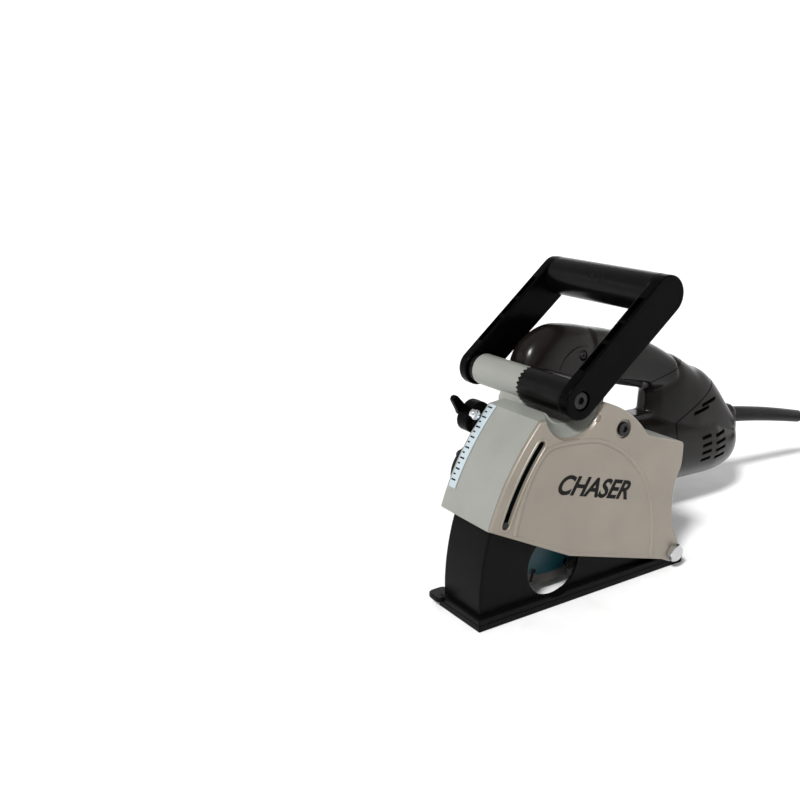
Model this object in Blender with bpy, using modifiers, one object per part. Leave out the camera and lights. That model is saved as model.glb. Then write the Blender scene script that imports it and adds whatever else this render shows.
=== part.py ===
"""Wall chaser: twin diamond wheels in an aluminium case, on a sprung base that swings about a rear bolt.

X runs rearward to the cord, Y to the tool's right (the motor side), Z up. The tool stands on its base,
with the base swung fully open. Lengths here are in millimetres, and mm() turns them into metres.
"""

from math import cos, pi, radians, sin

import bmesh
import bpy
from mathutils import Matrix, Vector

# ---- driving dimensions, measured from the front left corner of the base ----
ORIGIN = (235.17, 59.05, 0.0)             # the part's origin in those coordinates
PIVOT = (192.5, 15.0)                    # base hinge axis, x and z
SPINDLE = (85.4, 71.0)                   # wheel axis, x and z, with the base open
SPINDLE_SHUT = (73.0, 32.5)              # the same axis over the base when the base is closed
MOTOR_Y = 90.0                           # plane of the motor and the rear handle
MOTOR_TILT = 2.0                         # degrees that the motor's tail hangs below level
GRIP = (83.6, 161.4)                     # front grip's tilt axis, x and z
GRIP_TOP = (166.4, 228.0)                # centre of the front grip's bar
GRIP_DIP_R = 20.5                        # case's dip under the front grip, about the grip's axis
SCOOP = (81.0, 159.5)                    # centre of the cone that widens the dip at the left face
SCOOP_R = 28.5
GAP = 0.3

CASE_Y = (-0.9, 57.0)
COVER_Y = (-4.0, -1.2)
CASE_WALL = 3.2
FRONT_R = 196.8                          # case front wall, outside, about the base hinge
CROWN_R = 87.5                           # case top, outside, about the wheel axis
BASE_R = 188.3                           # base front wall, outside, about the base hinge
BASE_WALL = 2.4
BASE_Y = (5.0, 50.0)
RIM_H = 9.7
PIN_R = 184.6                            # guide pin's distance from the base hinge
PIN_ANGLE = (20.6, 39.9)                 # guide pin's angle with the base open and closed

WHEEL_R = 62.5
WHEEL_BORE = 11.1
WHEEL_LEFT_Y = (22.8, 25.2)
WHEEL_RIGHT_Y = (37.0, 39.2)

CROWN_TEETH = 37
PINION_TEETH = 11
CROWN_PITCH_R = 21.5
PINION_PITCH_R = CROWN_PITCH_R * PINION_TEETH / CROWN_TEETH
FACE_SCALE = 0.72                        # inner end of the bevel teeth over their outer end

HOUSING_R = 27.0
MOTOR_R = 32.5
CORD_R = 4.0
COIL_R = 42.5
COIL_AT = (622.0, 46.0)

for old in list(bpy.data.objects):
    bpy.data.objects.remove(old, do_unlink=True)

scene = bpy.context.scene
parts = bpy.data.collections.new("wall_chaser")
cutters = bpy.data.collections.new("cutters")
scene.collection.children.link(parts)
scene.collection.children.link(cutters)


# ---- materials ----
def material(name, color, roughness, metallic=0.0):
    mat = bpy.data.materials.new(name)
    mat.use_nodes = True
    shader = mat.node_tree.nodes["Principled BSDF"]
    shader.inputs["Base Color"].default_value = (*color, 1.0)
    shader.inputs["Roughness"].default_value = roughness
    shader.inputs["Metallic"].default_value = metallic
    mat.diffuse_color = (*color, 1.0)
    return mat


SILVER = material("silver_paint", (0.55, 0.53, 0.49), 0.38, 0.6)
BLACK = material("black_paint", (0.018, 0.018, 0.018), 0.35)
PLASTIC = material("dark_plastic", (0.035, 0.030, 0.027), 0.5)
RUBBER = material("black_rubber", (0.02, 0.02, 0.02), 0.7)
STEEL = material("steel", (0.55, 0.55, 0.56), 0.3, 1.0)
DARK_STEEL = material("dark_steel", (0.10, 0.10, 0.105), 0.4, 1.0)
IRON = material("lamination", (0.23, 0.22, 0.21), 0.5, 0.9)
COPPER = material("copper", (0.72, 0.36, 0.20), 0.35, 1.0)
BRASS = material("brass", (0.75, 0.58, 0.28), 0.35, 1.0)
CARBON = material("carbon", (0.03, 0.03, 0.032), 0.6)
TEAL = material("teal_paint", (0.02, 0.26, 0.33), 0.4)
WHITE = material("white_plate", (0.85, 0.86, 0.86), 0.4)


# ---- small tools ----
def mm(*values):
    return Vector([value * 0.001 for value in values])


def frame(name, spot, parent=None, tilt=0.0):
    """An empty that pieces are measured from, or turn about."""
    empty = bpy.data.objects.new(name, None)
    empty.location = mm(*spot)
    empty.rotation_euler = (0.0, radians(tilt), 0.0)
    empty.parent = parent
    parts.objects.link(empty)
    return empty


TOOL = frame("tool", [-value for value in ORIGIN])
HINGE = frame("base_axis", (PIVOT[0], 0.0, PIVOT[1]), TOOL)
MOTOR = frame("motor_axis", (SPINDLE[0], MOTOR_Y, SPINDLE[1]), TOOL, MOTOR_TILT)
WHEELS = frame("spindle_axis", (SPINDLE[0], 0.0, SPINDLE[1]), TOOL)
TILT = frame("grip_axis", (GRIP[0], 0.0, GRIP[1]), TOOL)

ALONG = {
    "Z": Matrix.Identity(4),
    "Y": Matrix.Rotation(radians(-90), 4, "X"),
    "X": Matrix.Rotation(radians(90), 4, "Y"),
}
UPRIGHT = {
    "Z": Matrix.Identity(4),
    "Y": Matrix.Rotation(radians(90), 4, "X"),
    "X": Matrix(((0, 0, 1, 0), (1, 0, 0, 0), (0, 1, 0, 0), (0, 0, 0, 1))),
}


def on_axis(axis, along, centre):
    """A point at a distance along one axis, and at the other two coordinates, in their own order."""
    return {"X": (along, *centre), "Y": (centre[0], along, centre[1]), "Z": (*centre, along)}[axis]


def put(obj, parent, mat):
    """Files a piece with the parts, or with the cutters when it has no material."""
    obj.parent = parent
    if mat is None:
        cutters.objects.link(obj)
        obj.hide_render = True
        obj.display_type = "WIRE"
    else:
        parts.objects.link(obj)
        obj.data.materials.clear()
        obj.data.materials.append(mat)
    return obj


def from_bmesh(name, bm, parent, mat):
    mesh = bpy.data.meshes.new(name)
    bmesh.ops.recalc_face_normals(bm, faces=bm.faces)
    bm.to_mesh(mesh)
    bm.free()
    return put(bpy.data.objects.new(name, mesh), parent, mat)


def box(name, x, y, z, parent, mat=None, bevel=0.0):
    bm = bmesh.new()
    size = mm(x[1] - x[0], y[1] - y[0], z[1] - z[0])
    centre = mm(x[0] + x[1], y[0] + y[1], z[0] + z[1]) / 2
    bmesh.ops.create_cube(bm, size=1.0, matrix=Matrix.Translation(centre) @ Matrix.Diagonal((*size, 1.0)))
    obj = from_bmesh(name, bm, parent, mat)
    if bevel:
        round_edges(obj, bevel)
    return obj


def drum(name, axis, radius, span, centre, parent, mat=None, sides=32, far_radius=None):
    """A cylinder, or a cone with far_radius at the far end of its span along the axis."""
    bm = bmesh.new()
    end = radius if far_radius is None else far_radius
    length = (span[1] - span[0]) * 0.001
    bmesh.ops.create_cone(
        bm, cap_ends=True, segments=sides, radius1=radius * 0.001, radius2=end * 0.001, depth=length
    )
    middle = on_axis(axis, (span[0] + span[1]) / 2, centre)
    bmesh.ops.transform(bm, matrix=Matrix.Translation(mm(*middle)) @ ALONG[axis], verts=bm.verts)
    return from_bmesh(name, bm, parent, mat)


def turned(name, axis, profile, centre, parent, mat=None, steps=32, hollow=False):
    """A turned piece. profile is (radius, place along the axis); a hollow one is a closed ring."""
    pairs = zip(profile, profile[1:] + profile[:1])
    area = sum(r0 * a1 - r1 * a0 for (r0, a0), (r1, a1) in pairs)
    order = list(reversed(profile)) if area > 0 else profile
    count = len(order)
    edges = [(i, (i + 1) % count) for i in range(count if hollow else count - 1)]
    mesh = bpy.data.meshes.new(name)
    mesh.from_pydata([mm(r, 0.0, a) for r, a in order], edges, [])
    obj = put(bpy.data.objects.new(name, mesh), parent, mat)
    obj.matrix_local = Matrix.Translation(mm(*on_axis(axis, 0.0, centre))) @ ALONG[axis]
    screw = obj.modifiers.new("turn", "SCREW")
    screw.steps = steps
    screw.render_steps = steps
    screw.use_merge_vertices = True
    screw.merge_threshold = 0.00001
    return obj


def ring(name, axis, inner, outer, span, centre, parent, mat=None, steps=32):
    """A washer or tube with square corners."""
    profile = [(outer, span[1]), (outer, span[0]), (inner, span[0]), (inner, span[1])]
    return turned(name, axis, profile, centre, parent, mat, steps, hollow=True)


def plate(name, loops, span, parent, mat=None, axis="Y"):
    """A flat piece across an axis. loops are its outline, and any holes, in the other two coordinates."""
    curve = bpy.data.curves.new(name, "CURVE")
    curve.dimensions = "2D"
    curve.fill_mode = "BOTH"
    curve.extrude = (span[1] - span[0]) * 0.0005
    for loop in loops:
        spline = curve.splines.new("POLY")
        spline.points.add(len(loop) - 1)
        for point, (a, b) in zip(spline.points, loop):
            point.co = (a * 0.001, b * 0.001, 0.0, 1.0)
        spline.use_cyclic_u = True
    flat = bpy.data.objects.new(name + "_outline", curve)
    scene.collection.objects.link(flat)
    bpy.context.view_layer.update()
    mesh = bpy.data.meshes.new_from_object(flat.evaluated_get(bpy.context.evaluated_depsgraph_get()))
    bpy.data.objects.remove(flat, do_unlink=True)
    bm = bmesh.new()
    bm.from_mesh(mesh)
    bmesh.ops.remove_doubles(bm, verts=bm.verts, dist=0.000005)
    middle = on_axis(axis, (span[0] + span[1]) / 2, (0.0, 0.0))
    bmesh.ops.transform(bm, matrix=Matrix.Translation(mm(*middle)) @ UPRIGHT[axis], verts=bm.verts)
    return from_bmesh(name, bm, parent, mat)


def skin(name, rings, parent, mat=None, bored=False):
    """A loft through rings of equally many points, capped, or closed on itself when bored."""
    bm = bmesh.new()
    rows = [[bm.verts.new(mm(*point)) for point in points] for points in rings]
    pairs = list(zip(rows, rows[1:]))
    if bored:
        pairs.append((rows[-1], rows[0]))
    else:
        bm.faces.new(rows[0])
        bm.faces.new(rows[-1])
    for low, high in pairs:
        for i in range(len(low)):
            j = (i + 1) % len(low)
            bm.faces.new((low[i], low[j], high[j], high[i]))
    return from_bmesh(name, bm, parent, mat)


def round_edges(obj, width):
    bevel = obj.modifiers.new("round", "BEVEL")
    bevel.width = width * 0.001
    bevel.segments = 2
    bevel.limit_method = "ANGLE"
    bevel.angle_limit = radians(35)


def combine(obj, others, operation):
    for other in others:
        step = obj.modifiers.new(other.name, "BOOLEAN")
        step.operation = operation
        step.solver = "EXACT"
        step.object = other
    return obj


def cut(obj, *others):
    return combine(obj, others, "DIFFERENCE")


def join(obj, *others):
    return combine(obj, others, "UNION")


def keep(obj, other):
    return combine(obj, [other], "INTERSECT")


def copy_of(obj, name, mat):
    """A second piece with the first one's finished shape."""
    bpy.context.view_layer.update()
    mesh = bpy.data.meshes.new_from_object(obj.evaluated_get(bpy.context.evaluated_depsgraph_get()))
    return put(bpy.data.objects.new(name, mesh), obj.parent, mat)


def arc(centre, radius, start, end, count):
    """Points on an arc, with angles in degrees from the first coordinate towards the second."""
    turns = [radians(start + (end - start) * i / count) for i in range(count + 1)]
    return [(centre[0] + radius * cos(turn), centre[1] + radius * sin(turn)) for turn in turns]


def front_arc(radius, low, high, count=12):
    """Points on an arc about the base hinge, by their angle above the horizon in front of it."""
    return arc(PIVOT, radius, 180 - low, 180 - high, count)


def arc_slot(radius, half, low, high, count=8):
    """A round-ended slot or bar that follows an arc about the base hinge."""
    ends = front_arc(radius, low, high, 1)
    top_end = arc(ends[1], half, 180 - high, -high, 6)
    low_end = arc(ends[0], half, -low, -180 - low, 6)
    return (
        front_arc(radius + half, low, high, count)[:-1] + top_end
        + front_arc(radius - half, high, low, count)[1:-1] + low_end[:-1]
    )


def hexagon(name, flats, span, centre, parent, mat, hole=0.0):
    nut = drum(name, "Y", flats / 2 / cos(pi / 6), span, centre, parent, mat, sides=6)
    if hole:
        cut(nut, drum(name + "_hole", "Y", hole, (span[0] - 2, span[1] + 2), centre, parent, sides=20))
    return nut


# ---- blade case ----
def case_outline(bottom):
    """Side view of the case: front, dip under the grip, crown over the wheels, rear edge and hinge ear."""
    front = front_arc(FRONT_R, 18.8, 43.6)
    dip = [(56.0, 151.3), (64.5, 151.9)] + arc(GRIP, GRIP_DIP_R, 212, 318, 7)
    crown = arc(SPINDLE, CROWN_R, 74, 34.5, 10)
    rear = [(196.0, 108.0), (197.5, 104.0), (196.2, 88.0), (190.5, 75.0), (188.6, 60.0), (189.8, 40.0)]
    ear = arc(PIVOT, 8.7, 15, -120, 7)
    return front + dip + crown + rear + [(196.0, 26.0)] + ear + bottom


def cavity_outline():
    front = front_arc(FRONT_R - CASE_WALL, 8, 42.6)
    dip = [(58.0, 148.0), (61.5, 147.6)] + arc(GRIP, GRIP_DIP_R + CASE_WALL, 216, 316, 7)
    crown = arc(SPINDLE, CROWN_R - CASE_WALL, 71, 35.5, 10)
    rear = [(192.6, 105.2), (193.0, 89.5), (187.2, 76.0), (185.3, 60.0), (186.4, 40.0), (188.0, 33.0)]
    return front + dip + crown + rear + [(172.0, 33.0), (172.0, -30.0), (0.0, -30.0)]


def scoop(name, thickness):
    """The cone that widens the dip towards the left face, grown by a wall's thickness."""
    left, right = -4.0, 9.0
    slope = (SCOOP_R - GRIP_DIP_R) / (right - left)
    wide, narrow = SCOOP_R + slope * 3.0 + thickness, GRIP_DIP_R - 1.5 + thickness
    return drum(name, "Y", wide, (left - 3.0, right + thickness / 3), SCOOP, TOOL, sides=40, far_radius=narrow)


def make_case():
    case = plate("blade_case", [case_outline([(180.0, 14.5), (6.4, 77.3)])], CASE_Y, TOOL, SILVER)
    inside = (-8.0, CASE_Y[1] - CASE_WALL)
    hollow = plate("case_hollow", [cavity_outline()], inside, TOOL)
    cut(
        hollow,
        scoop("scoop_wall", CASE_WALL),
        drum("case_bolt_boss", "Y", 7.0, (-0.9, 60.0), (130.5, 134.0), TOOL, sides=20),
        box("case_boss_web", (127.0, 134.0), (-0.9, 60.0), (136.0, 150.0), TOOL),
    )
    cut(
        case,
        hollow,
        scoop("scoop_cut", 0.0),
        box("case_ear_room", (171, 215), inside, (-5, 34), TOOL),
        drum("case_mouth", "Y", 12.0, (50.0, 60.0), SPINDLE, TOOL),
        drum("case_hinge_hole", "Y", 4.3, (50.0, 60.0), PIVOT, TOOL, sides=24),
        drum("case_dust_port", "X", 12.3, (180, 205), (38.0, 56.0), TOOL, sides=28),
        plate("case_stop_slot", [arc_slot(190.4, 2.2, 22.0, 40.5)], (53.0, 60.0), TOOL),
        drum("case_bolt_hole", "Y", 2.9, (-2, 25), (130.5, 131.0), TOOL, sides=20),
    )
    arm = box("grip_arm", (74.5, 92.0), (48.0, 76.0), (140.0, 158.0), TOOL)
    gusset = box("grip_gusset", (76.5, 90.0), (55.5, 66.0), (104.0, 150.0), TOOL)
    boss = drum("grip_boss", "Y", 12.6, (47.9, 106.0), GRIP, TOOL)
    join(case, arm, gusset, boss)
    cut(case, drum("grip_boss_bore", "Y", 4.4, (40.0, 110.0), GRIP, TOOL, sides=24))


def make_cover():
    bottom = [(180.8, 11.0), (81.2, 40.3), (6.6, 77.7)]
    cover = plate("case_cover", [case_outline(bottom)], COVER_Y, TOOL, SILVER)
    through = (-6.0, 0.0)
    cut(
        cover,
        plate("cover_slot", [arc_slot(PIN_R, 3.0, *PIN_ANGLE)], through, TOOL),
        drum("cover_hinge_hole", "Y", 4.3, through, PIVOT, TOOL, sides=24),
        drum("cover_bolt_hole", "Y", 3.3, through, (130.5, 131.0), TOOL, sides=20),
        drum("cover_bolt_recess", "Y", 7.5, (-6.0, -2.4), (130.5, 131.0), TOOL, sides=28),
        scoop("cover_scoop", 0.0),
    )
    bolt = [(0, 20.0), (2.6, 20.0), (2.6, -2.7), (5.6, -2.7), (5.6, -5.2), (2.6, -5.2), (2.6, -3.6), (0, -3.6)]
    turned("cover_bolt", "Y", bolt, (130.5, 131.0), TOOL, DARK_STEEL, 24)


def make_hinge():
    head = hexagon("hinge_bolt", 13.0, (-9.4, -4.3), PIVOT, TOOL, STEEL)
    join(head, drum("hinge_bolt_shank", "Y", 4.0, (-6.0, 67.0), PIVOT, TOOL, sides=24))
    hexagon("hinge_nut", 13.0, (57.3, 64.0), PIVOT, TOOL, STEEL, hole=4.2)


def tube(name, points, radius, parent, mat, sides_level=2):
    """A wire or cord: a polyline curve with a round section."""
    curve = bpy.data.curves.new(name, "CURVE")
    curve.dimensions = "3D"
    curve.bevel_depth = radius * 0.001
    curve.bevel_resolution = sides_level
    curve.use_fill_caps = True
    curve.render_resolution_u = 0
    spline = curve.splines.new("POLY")
    spline.points.add(len(points) - 1)
    for point, spot in zip(spline.points, points):
        point.co = (*mm(*spot), 1.0)
    return put(bpy.data.objects.new(name, curve), parent, mat)


def make_return_spring():
    """A torsion spring round the hinge bolt: one leg lies over the base, the other under the case."""
    turns, per_turn, coil_r = 5, 12, 6.5
    first_y, last_y = 16.0, 30.0
    count = turns * per_turn
    coil = []
    for i in range(count + 1):
        angle = radians(100) + 2 * pi * i / per_turn
        coil.append((coil_r * cos(angle), first_y + (last_y - first_y) * i / count, coil_r * sin(angle)))
    base_leg = [(-26.0, first_y, 3.0), (-12.0, first_y, 7.0)]
    case_leg = [(-9.0, last_y, 8.6), (-18.0, last_y, 13.5)]
    tube("return_spring", base_leg + coil + case_leg, 0.9, HINGE, STEEL, 1)


def make_depth_scale():
    outline = front_arc(FRONT_R + GAP, 23.5, 43.5, 10) + front_arc(FRONT_R + GAP + 0.5, 43.5, 23.5, 10)
    plate("depth_scale", [outline], (46.0, 54.0), TOOL, WHITE)


def make_dust_nozzle():
    wall_x, end_x = 190.6, 221.0
    profile = [(12.0, end_x), (14.0, end_x), (14.3, wall_x + 3), (15.9, wall_x + 3), (15.9, wall_x), (12.0, wall_x)]
    turned("dust_nozzle", "X", profile, (38.0, 56.0), TOOL, PLASTIC, 28, hollow=True)


# ---- base ----
def make_base():
    side = front_arc(BASE_R, -4.0, 23.5) + [(81.2, 49.6), (170.0, 22.0)] + arc(PIVOT, 8.5, 115, -50, 7)
    base = plate("base", [side + [(198.0, 4.0), (10.0, 4.0)]], BASE_Y, TOOL, BLACK)
    inner = front_arc(BASE_R - BASE_WALL, -20.0, 35.0)
    middle = (BASE_Y[0] + BASE_WALL, BASE_Y[1] - BASE_WALL)
    across = (0.0, 55.0)
    cut(
        base,
        plate("base_inside", [inner + [(60.0, 130.0), (230.0, 130.0), (230.0, -60.0)]], middle, TOOL),
        drum("base_window", "Y", 25.0, across, SPINDLE_SHUT, TOOL, sides=40),
        drum("base_hinge_hole", "Y", 4.3, across, PIVOT, TOOL, sides=24),
    )
    sole = box("base_sole", (0, 209), (0, 50.5), (0, RIM_H), TOOL, None, 1.0)
    join(
        sole,
        box("base_outrigger", (58, 205), (45, 122), (0, 3.0), TOOL, None, 0.8),
        box("base_ear", (-5, 11), (44, 60), (5.6, RIM_H - 0.3), TOOL, None, 1.6),
    )
    cut(
        sole,
        box("sole_mouth", (14, 176), (8.0, 47.0), (-5, 15), TOOL),
        drum("sole_hinge_room", "Y", 10.6, (7.9, 58.6), PIVOT, TOOL),
        drum("sole_window", "Y", 25.0, (-3.0, 12.0), SPINDLE_SHUT, TOOL, sides=40),
    )
    join(base, sole)
    drum("guide_pin", "Y", 2.5, (-3.6, 4.7), front_arc(PIN_R, PIN_ANGLE[0], 50, 1)[0], TOOL, STEEL, sides=20)


# ---- spindle, wheels and gears ----
def make_spindle():
    profile = [
        (0, 12), (7, 12), (7, 46.8), (8.5, 46.8), (8.5, 58.6), (7.7, 58.6),
        (7.7, 70.7), (6.6, 70.7), (6.6, 92), (5, 92), (5, 115.2), (0, 115.2),
    ]
    turned("spindle", "Y", profile, (0, 0), WHEELS, STEEL, 32)
    flange = [(7.3, 46.5), (20, 46.5), (20, 39.5), (10.8, 39.5), (10.8, 23.2), (7.3, 23.2)]
    turned("inner_flange", "Y", flange, (0, 0), WHEELS, STEEL, 36, hollow=True)
    ring("wheel_spacer", "Y", WHEEL_BORE, 17, (25.5, 36.7), (0, 0), WHEELS, STEEL, 32)
    nut = [(7.3, 22.5), (20, 22.5), (20, 18.5), (12.5, 15), (7.3, 15)]
    turned("lock_nut", "Y", nut, (0, 0), WHEELS, DARK_STEEL, 36, hollow=True)


def wheel_outline():
    """A wheel with ten rim segments, parted by slots that end in round holes."""
    segments, slot_half, hole_r, hole_at = 10, 0.9, 2.6, 53.5
    outline = []
    for i in range(segments):
        turn = 360.0 * i / segments
        edge = 0.83                      # degrees from a slot's middle to its edge at the rim
        mouth = (slot_half / hole_r) * 57.3
        centre = arc((0, 0), hole_at, turn, turn, 1)[0]
        outline += arc(centre, hole_r, turn - mouth, turn - 360 + mouth, 6)
        outline += arc((0, 0), WHEEL_R, turn + edge, turn + 36 - edge, 4)
    return outline


def make_wheels():
    for name, span, turn in (("wheel_left", WHEEL_LEFT_Y, 0.0), ("wheel_right", WHEEL_RIGHT_Y, 18.0)):
        wheel = plate(name, [wheel_outline(), arc((0, 0), WHEEL_BORE, 0, 345, 23)], span, WHEELS, TEAL)
        wheel.rotation_euler = (0.0, radians(turn), 0.0)


def gear_rows(teeth, pitch_r, other_r, bore, back, first):
    """Rings of (angle, radius, distance from the cone's tip) for a bevel gear with trapezoid teeth."""
    slant = (pitch_r ** 2 + other_r ** 2) ** 0.5
    rise, run = pitch_r / slant, other_r / slant
    tip, root = 0.75, -0.95
    widths = {tip: 0.18, root: 0.52}     # half-width of a tooth over the tooth pitch's half
    outer = []
    for i in range(teeth):
        middle = first + 2 * pi * i / teeth
        for side, height in ((-1, root), (-1, tip), (1, tip), (1, root)):
            angle = middle + side * widths[height] * pi / teeth
            outer.append((angle, pitch_r + height * run, other_r - height * rise))
    inner = [(angle, radius * FACE_SCALE, along * FACE_SCALE) for angle, radius, along in outer]
    hub = [(angle, bore, along) for angle, _, along in inner]
    flat = max(along for _, _, along in outer) + back
    rear = [(angle, pitch_r - 1.0, flat) for angle, _, _ in outer]
    rear_hub = [(angle, bore, flat) for angle, _, _ in outer]
    return [hub, inner, outer, rear, rear_hub]


def make_gears():
    rows = gear_rows(CROWN_TEETH, CROWN_PITCH_R, PINION_PITCH_R, 6.9, 9.5, radians(-MOTOR_TILT))
    crown = [[(r * cos(t), MOTOR_Y - a, r * sin(t)) for t, r, a in row] for row in rows]
    skin("crown_gear", crown, WHEELS, STEEL, bored=True)
    gap_at_left = pi + pi / PINION_TEETH
    rows = gear_rows(PINION_TEETH, PINION_PITCH_R, CROWN_PITCH_R, 3.0, 2.0, gap_at_left)
    pinion = [[(a, r * cos(t), r * sin(t)) for t, r, a in row] for row in rows]
    skin("pinion", pinion, MOTOR, STEEL, bored=True)


# ---- gear housing and bearings ----
def make_gear_housing():
    housing = drum("gear_housing", "Y", HOUSING_R, (-32.7, 29.0), (0, 0), MOTOR, BLACK, sides=40)
    cone = drum("housing_cone", "X", 24.0, (0.0, 34.0), (0, 0), MOTOR, sides=40, far_radius=32.0)
    flange = drum("housing_flange", "X", MOTOR_R, (33.0, 38.0), (0, 0), MOTOR, sides=40)
    join(housing, cone, flange)
    cut(
        housing,
        drum("housing_hollow", "Y", 22.5, (-36.0, 15.5), (0, 0), MOTOR, sides=40),
        drum("needle_seat", "Y", 10.2, (14.0, 25.5), (0, 0), MOTOR),
        drum("housing_throat", "X", 17.4, (14.0, 42.0), (0, 0), MOTOR, sides=40),
        drum("shaft_lock_hole", "X", 4.4, (-32.0, -18.0), (-13.5, 0.0), MOTOR, sides=20),
    )
    centre = (0, 0)
    seat = [(16.3, 69), (22.2, 69), (22.2, 57.3), (10, 57.3), (10, 58.7), (16.3, 58.7)]
    turned("bearing_box", "Y", seat, centre, WHEELS, SILVER, 32, hollow=True)
    ring("spindle_bearing", "Y", 8.0, 16.0, (59.0, 69.0), centre, WHEELS, STEEL, 32)
    ring("needle_bearing", "Y", 5.3, 9.9, (107.0, 115.0), centre, WHEELS, STEEL, 24)
    retainer = [
        (13.3, 29), (17.1, 29), (17.1, 38.3), (32.4, 38.3), (32.4, 44.0), (8, 44.0), (8, 41.3), (13.3, 41.3),
    ]
    turned("bearing_retainer", "X", retainer, centre, MOTOR, SILVER, 36, hollow=True)
    lock = [(0, -35), (5.8, -35), (5.8, -31), (4.1, -31), (4.1, -26.6), (0, -26.6)]
    turned("shaft_lock_button", "X", lock, (-13.5, 0.0), MOTOR, PLASTIC, 20)


# ---- motor ----
def star(teeth, root, tip, share):
    """A slotted or bladed outline. share is the part of each pitch that the tip takes."""
    outline = []
    for i in range(teeth):
        middle = 360.0 * i / teeth
        half = 180.0 * share / teeth
        edge = 180.0 / teeth - half
        outline += arc((0, 0), tip, middle - half, middle + half, 1)
        outline += arc((0, 0), root, middle + half + edge * 0.4, middle + half + edge * 1.6, 1)
    return outline


def make_motor():
    centre = (0, 0)
    shaft = [(0, 12), (2.7, 12), (2.7, 26), (5, 26), (5, 148), (0, 148)]
    turned("armature_shaft", "X", shaft, centre, MOTOR, STEEL, 24)
    ring("front_bearing", "X", 5.3, 13.0, (30.0, 41.0), centre, MOTOR, STEEL, 28)
    ring("rear_bearing", "X", 5.3, 11.0, (139.5, 147.5), centre, MOTOR, STEEL, 28)
    bore = arc((0, 0), 5.3, 0, 340, 17)
    plate("motor_fan", [star(16, 12.0, 27.0, 0.22), bore], (47.5, 56.0), MOTOR, PLASTIC, "X")
    plate("armature_core", [star(12, 12.5, 17.5, 0.7), bore], (62.0, 106.0), MOTOR, IRON, "X")
    plate("commutator", [star(20, 11.2, 12.0, 0.86), bore], (114.0, 133.0), MOTOR, COPPER, "X")
    field = ring("field_stator", "X", 18.2, 29.0, (60.0, 110.0), centre, MOTOR, IRON, 32)
    cut(field, box("field_slot", (56, 114), (-24, 24), (-9, 9), MOTOR))
    shell = [
        (29.8, 44.3), (MOTOR_R, 44.3), (MOTOR_R, 152.0), (6.5, 152.0),
        (6.5, 148.8), (11.3, 148.8), (11.3, 138.0), (29.8, 138.0),
    ]
    housing = turned("motor_housing", "X", shell, centre, MOTOR, PLASTIC, 36, hollow=True)
    for side, name in ((-1, "left"), (1, "right")):
        reach = sorted((side * 20.0, side * 40.0))
        cut(housing, drum("brush_hole_" + name, "Y", 6.4, reach, (124.0, 0.0), MOTOR, sides=20))
        near, far = sorted((side * 12.4, side * 25.6))
        box("brush_" + name, (120, 128), (near, far), (-3.5, 3.5), MOTOR, CARBON)
        cap = [(0, 26.0), (6.0, 26.0), (6.0, 33.0), (2.0, 33.0), (2.0, 32.0), (0, 32.0)]
        outline = [(radius, side * along) for radius, along in cap]
        turned("brush_cap_" + name, "Y", outline, (124.0, 0.0), MOTOR, PLASTIC, 20)


# ---- rear handle: stations are (place along the motor axis, lowest, highest, half-width) ----
def oval(u, low, high, half, power=2.6, count=24):
    ring_points = []
    for i in range(count):
        turn = 2 * pi * (i + 0.5) / count
        across, up = cos(turn), sin(turn)
        v = half * abs(across) ** (2 / power) * (1 if across > 0 else -1)
        w = (high - low) / 2 * abs(up) ** (2 / power) * (1 if up > 0 else -1)
        ring_points.append((u, v, (high + low) / 2 + w))
    return ring_points


DOME = [
    (13.5, 62, 98, 7), (17, 48, 106.5, 13), (24, 36, 114.5, 17), (36, 26, 121.5, 19.5),
    (50, 22, 125, 20), (70, 22, 123.2, 20), (90, 22, 119.2, 18.5), (108, 22, 115.8, 17.3),
]
BAR = [
    (85, 60, 120, 19), (108, 60, 115.8, 17.3), (130, 58, 110, 17),
    (150, 57, 103, 17.5), (166, 56, 96, 18.5), (182, 54, 87, 20),
]
HUMP = [
    (160, 12, 60, 5), (166, 6, 70, 11), (175, 0, 83, 18.5), (186, 0, 86.5, 22.5), (200, 0, 79.5, 25),
    (209, 0, 74, 26.5), (222, 0, 69.5, 27), (234, 0, 58.5, 27), (248, 0, 41, 26), (258, 0, 29.5, 24),
    (268, 0, 21.5, 19), (275, 2, 14.5, 12),
]
TAIL = [
    (152.3, -32.5, 32.5, 32.5), (222, -32.5, 32.5, 32.5), (235, -32.4, 31, 31.5), (248, -31.5, 28.5, 29),
    (258, -30, 26, 26), (266, -27.5, 22, 22), (272, -23.5, 17, 17), (277, -17, 10.5, 10), (279.5, -10, 4, 4),
]
DOME_INSIDE = [
    (17.5, 66, 95, 4.5), (21, 52, 103, 10), (27, 41, 111, 13.5), (37, 37, 118, 16),
    (50, 37, 121.6, 16.8), (70, 37, 120, 16.8), (88, 37, 116, 15.5), (92, 42, 115, 14.5),
]
BAR_INSIDE = [
    (80, 80, 117, 15.5), (105, 79, 112.5, 14), (130, 76, 106.5, 13.8), (150, 72, 99.5, 14.2), (178, 64, 84, 15),
]
HUMP_INSIDE = [
    (170, 8, 72, 9.5), (178, 5, 79, 15.5), (188, 5, 82.5, 19), (200, 5, 76, 21.8), (209, 5, 70, 23.3),
    (222, 5, 65.5, 24), (234, 5, 54.5, 24), (248, 4, 37.5, 23), (258, 4, 26, 21), (266, 4, 18.5, 16),
]
TAIL_INSIDE = [
    (150, -29.6, 29.6, 29.6), (222, -29.6, 29.6, 29.6), (235, -29.4, 28, 28.6), (248, -28.5, 25.5, 26),
    (258, -27, 23, 23), (266, -24.3, 18.8, 18.8), (271, -20.5, 14, 14), (275, -14, 7.5, 7),
]
FINGER_HOLE = [
    (98, 42), (96, 58), (103, 76), (127, 71.5), (152, 66.5), (157, 60), (158, 50), (153, 40), (144, 35.4), (104, 35.4),
]
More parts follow.
